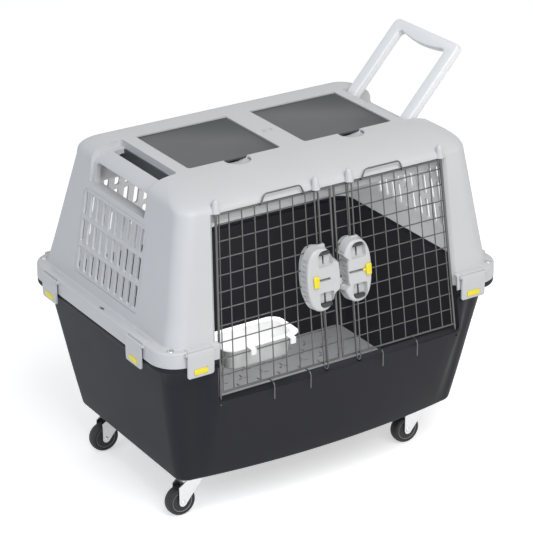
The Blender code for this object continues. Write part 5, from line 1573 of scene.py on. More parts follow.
@dataclass
class RoofLids:
    """Two dark lids over the storage wells, each with a raised rim and its hinge pins.

    Attributes:
        form: the shared lines.
        gap: lid to its rebate.
        corner: radius of a lid's corners.
    """

    form: Form = field(default_factory=Form)
    gap: float = 0.0005
    corner: float = 0.0055

    def lid(self, side: Side) -> Piece:
        """One lid, from a rounded plate whose face is inset into a shallow tray."""
        form, thick = self.form, self.form.lid_thick
        x0, x1 = form.span(side)
        low = form.z_roof - form.lid_sink - thick
        middle, half = (x0 + x1) / 2, (x1 - x0) / 2 - self.gap
        y0, y1 = -form.lid_front + self.gap, form.lid_rear - 0.0012

        def level(z: float, inset: float) -> Ring:
            """The lid's outline at a height above its underside."""
            corner = self.corner - inset * 0.5
            flat = rounded(half - inset, y0 + inset, y1 - inset, corner, corner)
            return [Vector((middle + u, v, low + z)) for u, v in flat]

        rings = [level(0, 0.0006), level(0.0006, 0), level(thick - 0.0012, 0), level(thick - 0.0003, 0.0004)]
        rings += [level(thick, 0.0012), level(thick, 0.0030), level(thick - 0.0007, 0.0042)]
        lid = skin("lid", rings)
        y, z = form.lid_rear - 0.0040, low + thick / 2
        pins = bar("pins", Vector((x0 - 0.002, y, z)), Vector((x1 + 0.002, y, z)), form.lid_pin, 16)
        return work(lid, Work.JOIN, pins)

    def build(self) -> None:
        """Make both lids and hand them over."""
        for side in Side:
            hand_over(smooth(self.lid(side)), "lid_" + side.word, LID, "lid", "lid_" + side.word)


@dataclass
class TowHandle:
    """The U-shaped tow handle that stands up from the right end of the roof.

    Attributes:
        form: the shared lines.
        spread: distance of each arm's middle from the crate's middle.
        length: pivot to the far edge of the bar.
        angle: tilt above the horizontal, in degrees.
        width: width of an arm.
        thick: thickness of the handle.
        bar: depth of the bar at its ends and in the middle.
        fillet, corner: radius of the inner and outer corners.
        knuckle: radius of the knuckles.
    """

    form: Form = field(default_factory=Form)
    spread: float = 0.0915
    length: float = 0.1955
    angle: float = 48.0
    width: float = 0.0280
    thick: float = 0.0175
    bar: tuple[float, float] = (0.0220, 0.0300)
    fillet: float = 0.010
    corner: float = 0.014
    knuckle: float = 0.0086

    def flat(self) -> Flat:
        """The handle's outline, as (across, along) pairs."""
        outer, inner = self.spread + self.width / 2, self.spread - self.width / 2
        foot, reach, far = -0.003, self.length - self.bar[0], self.length
        fillet, corner, count = self.fillet, self.corner, 14
        points = [(-outer, foot), (-inner, foot)]
        points += [(-inner + fillet * (1 - c), reach - fillet * (1 - s)) for s, c in quarter(5)]
        for step in range(1, count):
            across = lerp(fillet - inner, inner - fillet, step / count)
            dip = (self.bar[1] - self.bar[0]) * (1 - (across / (inner - fillet)) ** 2)
            points.append((across, reach - dip))
        points += [(inner - fillet * (1 - s), reach - fillet * (1 - c)) for s, c in quarter(5)]
        points += [(inner, foot), (outer, foot)]
        points += [(outer - corner * (1 - c), far - corner * (1 - s)) for s, c in quarter(6)]
        return points + [(-outer + corner * (1 - s), far - corner * (1 - c)) for s, c in quarter(6)]

    def build(self) -> None:
        """Make the handle, tilt it and hand it over."""
        tilt = math.radians(self.angle)
        along = Vector((math.cos(tilt), 0, math.sin(tilt)))
        square = Vector((-math.sin(tilt), 0, math.cos(tilt)))
        form = self.form
        pivot = Vector((form.bail_x, 0, form.z_roof - form.bail_drop))
        low = [pivot + Vector((0, u, 0)) + along * v - square * self.thick / 2 for u, v in self.flat()]
        handle = round_edges(plate("tow_handle_piece", low, square * self.thick), 0.0032, 4, 50)
        outer, inner = self.spread + self.width / 2, self.spread - self.width / 2
        tools = []
        for side in Side:
            way = Vector((0, side.value, 0))
            start = pivot + way * (inner + 0.0005)
            tools.append(bar("knuckle", start, pivot + way * (outer - 0.0005), self.knuckle, 32))
            tools.append(bar("pin", start, pivot + way * (form.bail_half + 0.005), form.bail_pin, 24))
        work(handle, Work.JOIN, *tools)
        hand_over(smooth(handle), "tow_handle", HANDLE, "bail", "tow_handle")


# Doors


@dataclass
class WireDoors:
    """Two welded wire doors on leaning hinge wires, each with a loop over the header and two sill hooks.

    Attributes:
        form: the shared lines.
        cells: cells across a door.
        rows: rows up a door.
        first_row: top wire to the first row.
        wire: radius of the mesh wires.
        frame: radius of the frame wires.
        hinge: radius of the hinge wires.
        layer: how far the rows lie behind the uprights.
        meet: half the gap between the doors.
        pin: how far the hinge wires reach below and above the doors.
        loops, loop_rise: ends and height of the loops over the header.
        hooks, hook_reach, hook_drop: ends, front and depth of the hooks over the sill.
    """

    form: Form = field(default_factory=Form)
    cells: int = 9
    rows: int = 11
    first_row: float = 0.0194
    wire: float = 0.0012
    frame: float = 0.0021
    hinge: float = 0.0025
    layer: float = 0.0013
    meet: float = 0.0045
    pin: tuple[float, float] = (0.0185, 0.0125)
    loops: tuple[float, float] = (0.065, 0.160)
    loop_rise: float = 0.0205
    hooks: tuple[tuple[float, float], ...] = ((0.075, 0.093), (0.156, 0.176))
    hook_reach: float = 0.2911
    hook_drop: float = 0.0330

    def row_heights(self) -> list[float]:
        """Heights of the rows between the top and bottom wires, from the top."""
        first = self.form.z_door_top - self.first_row
        pitch = (first - self.form.z_door_bottom) / (self.rows - 1)
        return [first - pitch * row for row in range(self.rows - 1)]

    def cell_middle(self, side: Side, x: float, z: float) -> float:
        """The middle of the cell that holds this X at a height."""
        edge = side.value * self.form.door_edge(z)
        width = (side.value * self.meet - edge) / self.cells
        return edge + (math.floor((x - edge) / width) + 0.5) * width

    def row_middle(self, z: float) -> float:
        """The height midway between two rows that is nearest to this one."""
        rows = self.row_heights()
        return min(((low + high) / 2 for low, high in zip(rows, rows[1:])), key=lambda middle: abs(middle - z))

    def uprights(self, side: Side) -> list[Piece]:
        """The hinge wire, the frame's uprights and the mesh uprights."""
        form = self.form
        low = form.on_door(side.value * form.door_edge(form.z_door_bottom), form.z_door_bottom)
        high = form.on_door(side.value * form.door_edge(form.z_door_top), form.z_door_top)
        slant = form.hinge_line(side)
        wires = [bar("hinge", low - slant * self.pin[0], high + slant * self.pin[1], self.hinge, 16)]
        for cell in range(1, self.cells + 1):
            radius = self.frame if cell == self.cells else self.wire
            ends = []
            for z in (form.z_door_bottom, form.z_door_top):
                ends.append(form.on_door(side.value * lerp(form.door_edge(z), self.meet, cell / self.cells), z))
            wires.append(bar("upright", *ends, radius, 14))
        ends = []
        for z in (form.z_door_bottom, form.z_door_top):
            ends.append(form.on_door(side.value * (form.door_edge(z) - 0.0065), z))
        wires.append(bar("second", *ends, self.wire, 14))
        return wires

    def across(self, side: Side) -> list[Piece]:
        """The top and bottom wires and the rows."""
        form = self.form
        wires = []
        for z in (form.z_door_top, form.z_door_bottom):
            inner = self.meet - self.frame * 0.6
            ends = [form.on_door(side.value * form.door_edge(z), z), form.on_door(side.value * inner, z)]
            wires.append(bar("edge", *ends, self.frame, 14))
        for z in self.row_heights():
            ends = [form.on_door(side.value * form.door_edge(z), z, -self.layer)]
            ends.append(form.on_door(side.value * self.meet, z, -self.layer))
            wires.append(bar("row", *ends, self.wire, 14))
        return wires

    def bends(self, side: Side) -> list[Piece]:
        """The loop over the header and the hooks over the sill."""
        form = self.form
        top, foot = form.z_door_top, form.z_door_bottom
        near, far = (side.value * reach for reach in self.loops)
        rise, out, slope = top + self.loop_rise, form.face + 0.0045, side.value * 0.008
        loop = [form.on_door(near, top), form.on_door(near, top + 0.002, out), form.on_door(near + slope, rise, out)]
        loop += [form.on_door(far - slope, rise, out), form.on_door(far, top + 0.002, out), form.on_door(far, top)]
        pieces = [wire("loop", loop, self.wire * 1.35, 0.006)]
        for inner, outer in self.hooks:
            x, reach = side.value * (inner + outer) / 2, self.hook_reach
            hook = [form.on_door(x, foot)]
            hook += [Vector((x, -reach, z)) for z in (foot + 0.0006, foot - self.hook_drop)]
            pieces.append(wire("hook", hook, self.wire, 0.010, 4))
        return pieces

    def build(self) -> None:
        """Make both doors and hand them over."""
        for side in Side:
            door = gather("door_grid", self.uprights(side) + self.across(side) + self.bends(side))
            node = "door_grid_" + side.word
            hand_over(smooth(door, 50), "door_" + side.word, WIRE, "wire", node)


@dataclass
class LatchHousings:
    """The housings clamped round the doors' wires, with the push rods, their pulls and the yellow catches.

    Attributes:
        form: the shared lines.
        doors: the doors that carry them.
        middles: distance of the left and right housings' middles from the crate's middle.
        rise: bottom wire to the housings' middle.
        half: half width and half height of a housing.
        flare: how much wider a housing is at the door than at its face.
        front: door plane to a housing's face.
        back: door plane to a housing's rear.
        power: squareness of the oval.
        shoulder: how far the left one reaches into the right one's notch.
        notch: share of the height that the shoulder takes, and how softly it ends.
        pocket: inner end, outer end, half width and depth of a pocket.
        stem_slot: inner end, outer end and half width of the slot in a pocket's floor.
        clamp: place along Z and radius of the clamp bosses.
        clamps: distance of the left and right clamp bosses from the crate's middle.
        soft: radius of a housing's rounded edges.
        back_inset: how much narrower the rear half is.
        rod: radius of a rod's wire.
        rod_spread: half the distance between a rod's two strands.
        rod_inner: housing's middle to a rod's inner end.
        ridge: distance between the grooves in the side walls, and their half height.
        pull_foot: outer end of a pull's foot.
        pull_stem: inner end, outer end and half width of a pull's stem.
        pull_bar: inner and outer end of a pull's bar.
        catch_slot: half height of the catches' slots.
        slots: ends of the left and right catches' slots along X.
        knobs: places of the left and right catches along X.
        knob: half width, half height and reach of a catch.
        groove: spacing, half length, radius and reach of the grooves across a catch.
        neck: place, half width and half height of a catch's neck.
        tongue: length and half height of the right catch's tongue.
    """

    form: Form = field(default_factory=Form)
    doors: WireDoors = field(default_factory=WireDoors)
    middles: tuple[float, float] = (0.0472, 0.0350)
    rise: float = 0.1750
    half: tuple[float, float] = (0.0320, 0.0617)
    flare: float = 0.0022
    front: float = 0.0230
    back: float = 0.0170
    power: float = 2.5
    shoulder: float = 0.0105
    notch: tuple[float, float] = (0.52, 0.07)
    pocket: tuple[float, float, float, float] = (0.0255, 0.0560, 0.0150, 0.0090)
    stem_slot: tuple[float, float, float] = (0.0265, 0.0540, 0.0017)
    clamp: tuple[float, float] = (0.0300, 0.0030)
    clamps: tuple[float, float] = (0.0575, 0.0533)
    soft: float = 0.0050
    back_inset: float = 0.0035
    rod: float = 0.0015
    rod_spread: float = 0.0045
    rod_inner: float = 0.0260
    ridge: tuple[float, float] = (0.0098, 0.0013)
    pull_foot: float = 0.0460
    pull_stem: tuple[float, float, float] = (0.0355, 0.0515, 0.0013)
    pull_bar: tuple[float, float] = (0.0475, 0.0545)
    catch_slot: float = 0.0026
    slots: tuple[tuple[float, float], tuple[float, float]] = ((-0.0600, -0.0285), (0.0155, 0.0560))
    knobs: tuple[float, float] = (-0.0615, 0.0575)
    knob: tuple[float, float, float] = (0.0060, 0.0112, 0.0052)
    groove: tuple[float, float, float, float] = (0.0030, 0.0080, 0.0009, 0.0056)
    neck: tuple[float, float, float] = (0.0048, 0.0030, 0.0014)
    tongue: tuple[float, float] = (0.0125, 0.0022)

    @property
    def z(self) -> float:
        """Height of the housings' middle."""
        return self.form.z_door_bottom + self.rise

    def of_side(self, side: Side, pair: Sequence[Part]) -> Part:
        """The left or right one of a pair."""
        return pair[0] if side is Side.LEFT else pair[1]

    def rod_at(self, side: Side) -> float:
        """X of a door's push rods."""
        return side.value * self.form.rod_x

    def band(self, way: int, near: float, far: float) -> list[float]:
        """Two heights above or below the housings' middle, the lower one first."""
        return sorted((self.z + way * near, self.z + way * far))

    def outline(self, side: Side, inset: float, steps: int = 96) -> Flat:
        """The housing's oval in the door plane, shouldered towards the crate's middle."""
        points = []
        middle = side.value * self.of_side(side, self.middles)
        for step in range(steps):
            angle = 2 * math.pi * (step + 0.5) / steps
            c, s = math.cos(angle), math.sin(angle)
            radius = (abs(c) ** self.power + abs(s) ** self.power) ** (-1 / self.power)
            x, z = (self.half[0] - inset) * radius * c, (self.half[1] - inset) * radius * s
            if x * side.value < 0:
                past = (self.notch[0] - abs(radius * s)) / self.notch[1]
                x += self.shoulder * min(1.0, max(0.0, past))
            points.append((middle + x, self.z + z))
        return points

    def shell(self, name: str, side: Side, layers: Sequence[tuple[float, float]]) -> Piece:
        """A housing half from (distance in front of the door plane, inset) layers."""
        rings = []
        for out, inset in layers:
            rings.append([self.form.on_door(x, z, out) for x, z in self.outline(side, inset)])
        return skin(name, rings)

    def door_block(
        self, name: str, xs: Sequence[float], zs: Sequence[float], outs: Sequence[float], soft: float = 0.0
    ) -> Piece:
        """A block in the door plane's frame, its edges rounded if soft is given."""
        corners = ((xs[0], zs[0]), (xs[1], zs[0]), (xs[1], zs[1]), (xs[0], zs[1]))
        made = skin(name, [[self.form.on_door(x, z, out) for x, z in corners] for out in outs])
        return round_edges(made, soft, 3) if soft else made

    def pockets(self, side: Side) -> list[Piece]:
        """The two arched pockets, each with a slot in its floor for the pull's stem."""
        form = self.form
        x = self.rod_at(side)
        inner, outer, half, deep = self.pocket
        near, far, wide = self.stem_slot
        cuts = []
        for way in (-1, 1):
            flat = rounded(half, inner, outer, 0.0040, 0.0125, 8)
            low = [form.on_door(x + u, self.z + way * v, self.front - deep) for u, v in flat]
            top = []
            for u, v in flat:
                top.append(form.on_door(x + u * 1.14, self.z + way * (v + (v - 0.04) * 0.08), self.front + 0.006))
            cuts.append(skin("pocket", [low, top]))
            outs = (0.004, self.front - deep + 0.002)
            cuts.append(self.door_block("stem_slot", about(x, wide), self.band(way, near, far), outs))
        return cuts

    def ridges(self, side: Side) -> Piece:
        """Shallow grooves across the housing's side walls."""
        middle = side.value * self.of_side(side, self.middles)
        outs = (0.0042, self.front - 0.0068)
        pitch, half = self.ridge
        cuts = []
        for step in range(-4, 5):
            v = step * pitch
            zs = about(self.z + v, half)
            edge = self.half[0] * (1 - abs(v / self.half[1]) ** self.power) ** (1 / self.power)
            for way in (-1, 1):
                shift = self.shoulder if way * side.value < 0 and abs(v) < self.notch[0] * self.half[1] else 0.0
                if way * side.value < 0 and abs(abs(v) - 0.5 * self.half[1]) < 0.006:
                    continue
                x = middle + way * edge + shift
                xs = sorted((x - way * 0.0005, x + way * 0.006))
                cuts.append(self.door_block("ridge", xs, zs, outs))
        return gather("ridges", cuts)

    def collars(self, side: Side) -> Piece:
        """Where the rods leave the housing at its top and bottom."""
        x = self.rod_at(side)
        wide = self.rod_spread + 0.0040
        collars = []
        for way in (-1, 1):
            zs = self.band(way, self.half[1] - 0.006, self.half[1] + 0.0026)
            collars.append(self.door_block("collar", about(x, wide), zs, (0.0022, 0.0110), 0.0012))
        return gather("collars", collars)

    def front_half(self, side: Side) -> Piece:
        """The front half: ridged side walls, two pockets, a slot for the catch and a rod channel."""
        form = self.form
        near = self.doors.frame * 0.75 + form.fit
        soft = self.soft
        layers = [(near, -self.flare), (self.front - soft - 0.001, 0.0)]
        layers += [(self.front - soft * (1 - s), soft * (1 - c)) for s, c in quarter(6)]
        layers.append((self.front, soft + 0.0012))
        front = self.shell("front", side, layers)
        rod_x = self.rod_at(side)
        wide, deep = self.rod_spread + self.rod + form.fit, form.rod_out + self.rod + form.fit
        ends = (self.z - self.half[1] - 0.01, self.z + self.half[1] + 0.01)
        left, right = self.of_side(side, self.slots)
        slot = self.door_block("slot", (left, right), about(self.z, self.catch_slot), (0.012, 0.034))
        bosses = [self.collars(side)]
        for way in (-1, 1):
            z = self.doors.row_middle(self.z + way * self.clamp[0])
            x = self.doors.cell_middle(side, side.value * self.of_side(side, self.clamps), z)
            back = -self.doors.layer - self.doors.wire + self.clamp[1] * form.door_lean
            bosses.append(bar("boss", form.on_door(x, z, near + 0.0012), form.on_door(x, z, back), self.clamp[1], 20))
        work(front, Work.JOIN, *bosses)
        channel = self.door_block("channel", about(rod_x, wide), ends, (-0.01, deep))
        return work(front, Work.CUT, channel, *self.pockets(side), slot, self.ridges(side))

    def back_half(self, side: Side) -> Piece:
        """The plain rear half, behind the grid."""
        near = -self.doors.layer - self.doors.wire - self.form.fit
        soft, inset = self.soft, self.back_inset
        layers = [(near, inset)] + [(-self.back + soft * (1 - s), inset + soft * (1 - c)) for s, c in quarter(5)]
        layers.append((-self.back, soft + inset + 0.0012))
        return self.shell("back", side, layers)

    def push_rod(self, side: Side, way: int) -> Piece:
        """One rod: a doubled wire bent to a tip at its far end."""
        form = self.form
        x = self.rod_at(side)
        target = form.z_head if way > 0 else form.z_sill
        tip = target - way * 0.0005
        inner = self.z + way * self.rod_inner
        path = [form.on_door(x - self.rod_spread, inner, form.rod_out)]
        for step in range(9):
            angle = math.pi * step / 8
            rise = 0.0110 * (1 - math.sin(angle) ** 0.8) + self.rod * 0.5
            path.append(form.on_door(x - self.rod_spread * math.cos(angle), tip - way * rise, form.rod_out))
        path.append(form.on_door(x + self.rod_spread, inner, form.rod_out))
        return wire("rod", path, self.rod, 0.0, 4)

    def pull(self, side: Side, way: int) -> Piece:
        """The dark T that draws a rod back: a foot on the rod, a thin stem and a bar across the pocket."""
        x = self.rod_at(side)
        wide = self.rod_spread + self.rod * 0.8
        low, rod = self.front - self.pocket[3], self.form.rod_out
        zs = self.band(way, self.rod_inner - 0.001, self.pull_foot)
        foot = self.door_block("foot", about(x, wide), zs, (rod - 0.001, rod + 0.0014))
        near, far, thin = self.pull_stem
        stem = self.door_block("stem", about(x, thin), self.band(way, near, far), (rod, low + 0.0008))
        xs, zs = about(x, self.pocket[2] - 0.0030), self.band(way, *self.pull_bar)
        head = self.door_block("head", xs, zs, (low + 0.0004, self.front - 0.0012), 0.0016)
        return work(foot, Work.JOIN, stem, head)

    def catch_knob(self, side: Side) -> Piece:
        """The yellow sliding catch: a ridged knob on a neck that runs in the slot."""
        form = self.form
        x = self.of_side(side, self.knobs)
        wide, tall, reach = self.knob
        outs = (self.front + form.fit, self.front + reach)
        knob = self.door_block("knob", about(x, wide), about(self.z, tall), outs, 0.0022)
        pitch, half, radius, reach = self.groove
        cuts = []
        for shift in (-pitch, 0.0, pitch):
            ends = [form.on_door(x + shift, z, self.front + reach) for z in about(self.z, half)]
            cuts.append(bar("groove", *ends, radius, 12))
        work(knob, Work.CUT, gather("grooves", cuts))
        shift, wide, tall = self.neck
        xs, top = about(x - side.value * shift, wide), outs[1] - 0.003
        necks = [self.door_block("neck", xs, about(self.z, tall), (0.013, top))]
        if side is Side.RIGHT:
            length, half = self.tongue
            necks.append(self.door_block("tongue", (x - length, x), about(self.z, half), (outs[0], top), 0.0006))
        return work(knob, Work.JOIN, *necks)

    def build(self) -> None:
        """Make the housings, rods, pulls and catches and hand them over."""
        for side in Side:
            word, door = side.word, "door_" + side.word
            for node, half in (("front_", self.front_half(side)), ("back_", self.back_half(side))):
                hand_over(smooth(half), door, HOUSING, "housing", "latch_housing_" + node + word)
            for end, way in (("upper", 1), ("lower", -1)):
                body = f"rod_{end}_{word}"
                hand_over(smooth(self.push_rod(side, way), 50), body, WIRE, "wire", body)
                hand_over(smooth(self.pull(side, way)), body, PULL, "wire")
            body = "lock_slider_" + word
            hand_over(smooth(self.catch_knob(side)), body, YELLOW, "yellow", body)


@dataclass
class FoodBowl:
    """The white bowl that hooks over a row of the left door.

    Attributes:
        form: the shared lines.
        doors: the doors, for the row that it hangs on.
        row: the row, counted from the first one under the top wire.
        size: length, depth and height.
        middle: its middle along X.
        behind: its front's distance behind the doors' foot.
        flange: width of the rim's flange.
        tab: distance of a tab from the bowl's middle.
    """

    form: Form = field(default_factory=Form)
    doors: WireDoors = field(default_factory=WireDoors)
    row: int = 8
    size: tuple[float, float, float] = (0.170, 0.094, 0.050)
    middle: float = -0.160
    behind: float = 0.0199
    flange: float = 0.010
    tab: float = 0.042

    def ring(self, z: float, inset: float, corner: float) -> Ring:
        """The bowl's outline at a height."""
        flat = rounded(self.size[0] / 2 - inset, inset, self.size[1] - inset, corner, corner, 8)
        front = self.form.door_foot - self.behind
        return [Vector((self.middle + u, v - front, z)) for u, v in flat]

    def build(self) -> None:
        """Make the bowl with its two tabs and hand it over."""
        form, doors = self.form, self.doors
        row = doors.row_heights()[self.row]
        rim = row + doors.wire
        foot = rim - self.size[2]
        flange = self.flange
        levels = [(foot, 0.0230, 0.0150)]
        levels += [(foot + 0.006 * (1 - c), 0.0160 + 0.006 * (1 - s), 0.019) for s, c in quarter(5, 1)]
        levels += [(rim - 0.0060, 0.0108, 0.022), (rim - 0.0027, flange - 0.0006, 0.022)]
        levels += [(rim - 0.0025, flange - 0.0020, 0.023), (rim - 0.0025, 0.0006, 0.024)]
        levels += [(rim - 0.0018, 0, 0.024), (rim - 0.0006, 0, 0.024), (rim, 0.0008, 0.024)]
        levels += [(rim, flange + 0.0008, 0.021), (rim - 0.0012, flange + 0.0022, 0.020)]
        levels += [(foot + 0.0100, 0.0183, 0.018), (foot + 0.0050, 0.0200, 0.0170)]
        levels += [(foot + 0.0030, 0.0230, 0.0150), (foot + 0.0025, 0.0270, 0.0130)]
        bowl = skin("food_bowl_piece", [self.ring(*level) for level in levels])
        tabs = []
        for u in (-self.tab, self.tab):
            x = doors.cell_middle(Side.LEFT, self.middle + u, row)
            back, seat = 0.004 - form.door_foot + self.behind, row + doors.wire + form.fit
            wire_y = form.door_y(row) + doors.layer
            near, far = wire_y - doors.wire - 0.0012, wire_y - doors.wire - 0.0035
            profile = ((back, rim - 0.0015), (back, seat + 0.003), (far, seat + 0.003), (far, row - 0.008))
            profile += ((near, row - 0.008), (near, seat), (wire_y + doors.wire + 0.003, seat))
            profile += ((wire_y + doors.wire + 0.003, rim - 0.0015),)
            outline = [Vector((x - 0.006, y, z)) for y, z in profile]
            tabs.append(plate("tab", outline, Vector((0.012, 0, 0))))
        work(bowl, Work.JOIN, gather("tabs", tabs))
        hand_over(smooth(bowl), "food_bowl", BOWL, "bowl", "food_bowl")


# Waist latches and screws


@dataclass
class WaistLatches:
    """Eight hinged flaps that hook under the tub's rim bead, each with a yellow insert.

    Attributes:
        form: the shared lines.
        height: height of a flap.
        inner: skirt to the flap's rear.
        outer: skirt to the flap's face.
        lip: width of the lip under the bead.
        insert: width and height of the insert.
        sink: how deep the insert lies.
        insert_rise: flap's foot to the insert.
    """

    form: Form = field(default_factory=Form)
    height: float = 0.052
    inner: float = 0.0026
    outer: float = 0.0062
    lip: float = 0.024
    insert: tuple[float, float] = (0.030, 0.0115)
    sink: float = 0.0015
    insert_rise: float = 0.006

    @property
    def foot(self) -> float:
        """Height of a flap's lower edge."""
        return self.form.z_ledge - self.form.flap_sink + self.form.flap_barrel - self.height

    def prism(self, name: str, seat: LatchSeat, profile: Sequence[tuple[float, float]], width: float) -> Piece:
        """A section, as (distance from the skirt, height) pairs, pushed along the hinge."""
        start = seat.point - seat.along * (width / 2)
        outline = [start + seat.out * reach + UP * (z - seat.point.z) for reach, z in profile]
        return plate(name, outline, seat.along * width)

    def flap(self, seat: LatchSeat) -> Piece:
        """A flap with its barrel, its lip and the pocket for its insert."""
        form, foot, barrel, width = self.form, self.foot, self.form.flap_barrel, self.form.flap_width
        pivot = seat.pivot()
        profile = [(self.inner, foot), (self.outer - 0.0012, foot), (self.outer, foot + 0.002)]
        profile.append((self.outer + 0.0006, lerp(foot, pivot.z, 0.5)))
        reach = (pivot - seat.point).dot(seat.out)
        for step in range(13):
            angle = math.radians(10 + 200 * step / 12)
            profile.append((reach + barrel * math.cos(angle), pivot.z + barrel * math.sin(angle)))
        profile.append((self.inner, pivot.z - barrel - 0.002))
        flap = self.prism("flap", seat, profile, width)
        corner = rounded(width / 2, foot, pivot.z + 0.01, 0.006, 0.001, 6)
        face = [seat.point + seat.along * u - seat.out * 0.01 + UP * (v - seat.point.z) for u, v in corner]
        work(flap, Work.KEEP, plate("face", face, seat.out * 0.03))
        top = form.z_bead - form.run
        near, far = self.inner + 0.001, -form.bead_inset
        lip = ((near, top), (far, top), (far, top - 0.0024), (near, top - 0.0050))
        work(flap, Work.JOIN, self.prism("lip", seat, lip, self.lip))
        return work(flap, Work.CUT, self.slab("pocket", seat, self.outer - self.sink, 0.02, form.fit))

    def slab(self, name: str, seat: LatchSeat, back: float, front: float, grow: float) -> Piece:
        """A rounded slab low on a latch, between two distances from the skirt."""
        low = self.foot + self.insert_rise
        flat = rounded(self.insert[0] / 2 + grow, low - grow, low + self.insert[1] + grow, 0.003, 0.003, 4)
        points = [seat.point + seat.along * u + seat.out * back + UP * (v - seat.point.z) for u, v in flat]
        return plate(name, points, seat.out * (front - back))

    def build(self) -> None:
        """Make the flaps and inserts and hand them over."""
        for seat in latch_seats():
            body = "latch_" + seat.name
            hand_over(smooth(self.flap(seat)), body, SHELL, "shell", "latch_flap_" + seat.name)
            back = self.outer - self.sink + self.form.fit
            insert = round_edges(self.slab("insert", seat, back, back + 0.0024, 0), 0.0006, 3)
            hand_over(smooth(insert), body, YELLOW, "yellow", "latch_insert_" + seat.name)


@dataclass
class CornerScrews:
    """Pan-head screws through the ledge's corners.

    Attributes:
        form: the shared lines.
        head: radius of a head.
        shaft: radius of a shaft.
        reach: rim to a shaft's tip.
        sink: ledge to the underside of a head.
        cross: half length and half width of the cross recess.
    """

    form: Form = field(default_factory=Form)
    head: float = 0.0052
    shaft: float = 0.0022
    reach: float = 0.012
    sink: float = 0.0018
    cross: tuple[float, float] = (0.0028, 0.0005)

    def build(self) -> None:
        """Make the four screws and hand them over."""
        form = self.form
        seat = form.z_ledge - self.sink - form.z_rim + self.reach
        for name, (x, y) in screw_places().items():
            profile = [(0, self.shaft), (seat, self.shaft), (seat, self.head), (seat + 0.0008, self.head)]
            profile += [(seat + 0.0008 + 0.0017 * s, max(self.head * c, 0.0006)) for s, c in quarter(5, 1)]
            screw = turned("screw", Vector((x, y, form.z_rim - self.reach)), UP, profile, 28)
            cross = []
            z = form.z_rim - self.reach + seat + 0.0015
            for half_x, half_y in (self.cross[::-1], self.cross):
                cross.append(block("cross", (x - half_x, y - half_y, z), (x + half_x, y + half_y, z + 0.003)))
            work(screw, Work.CUT, *cross)
            hand_over(smooth(screw), "crate", ZINC, "zinc", "corner_screw_" + name)


# Casters


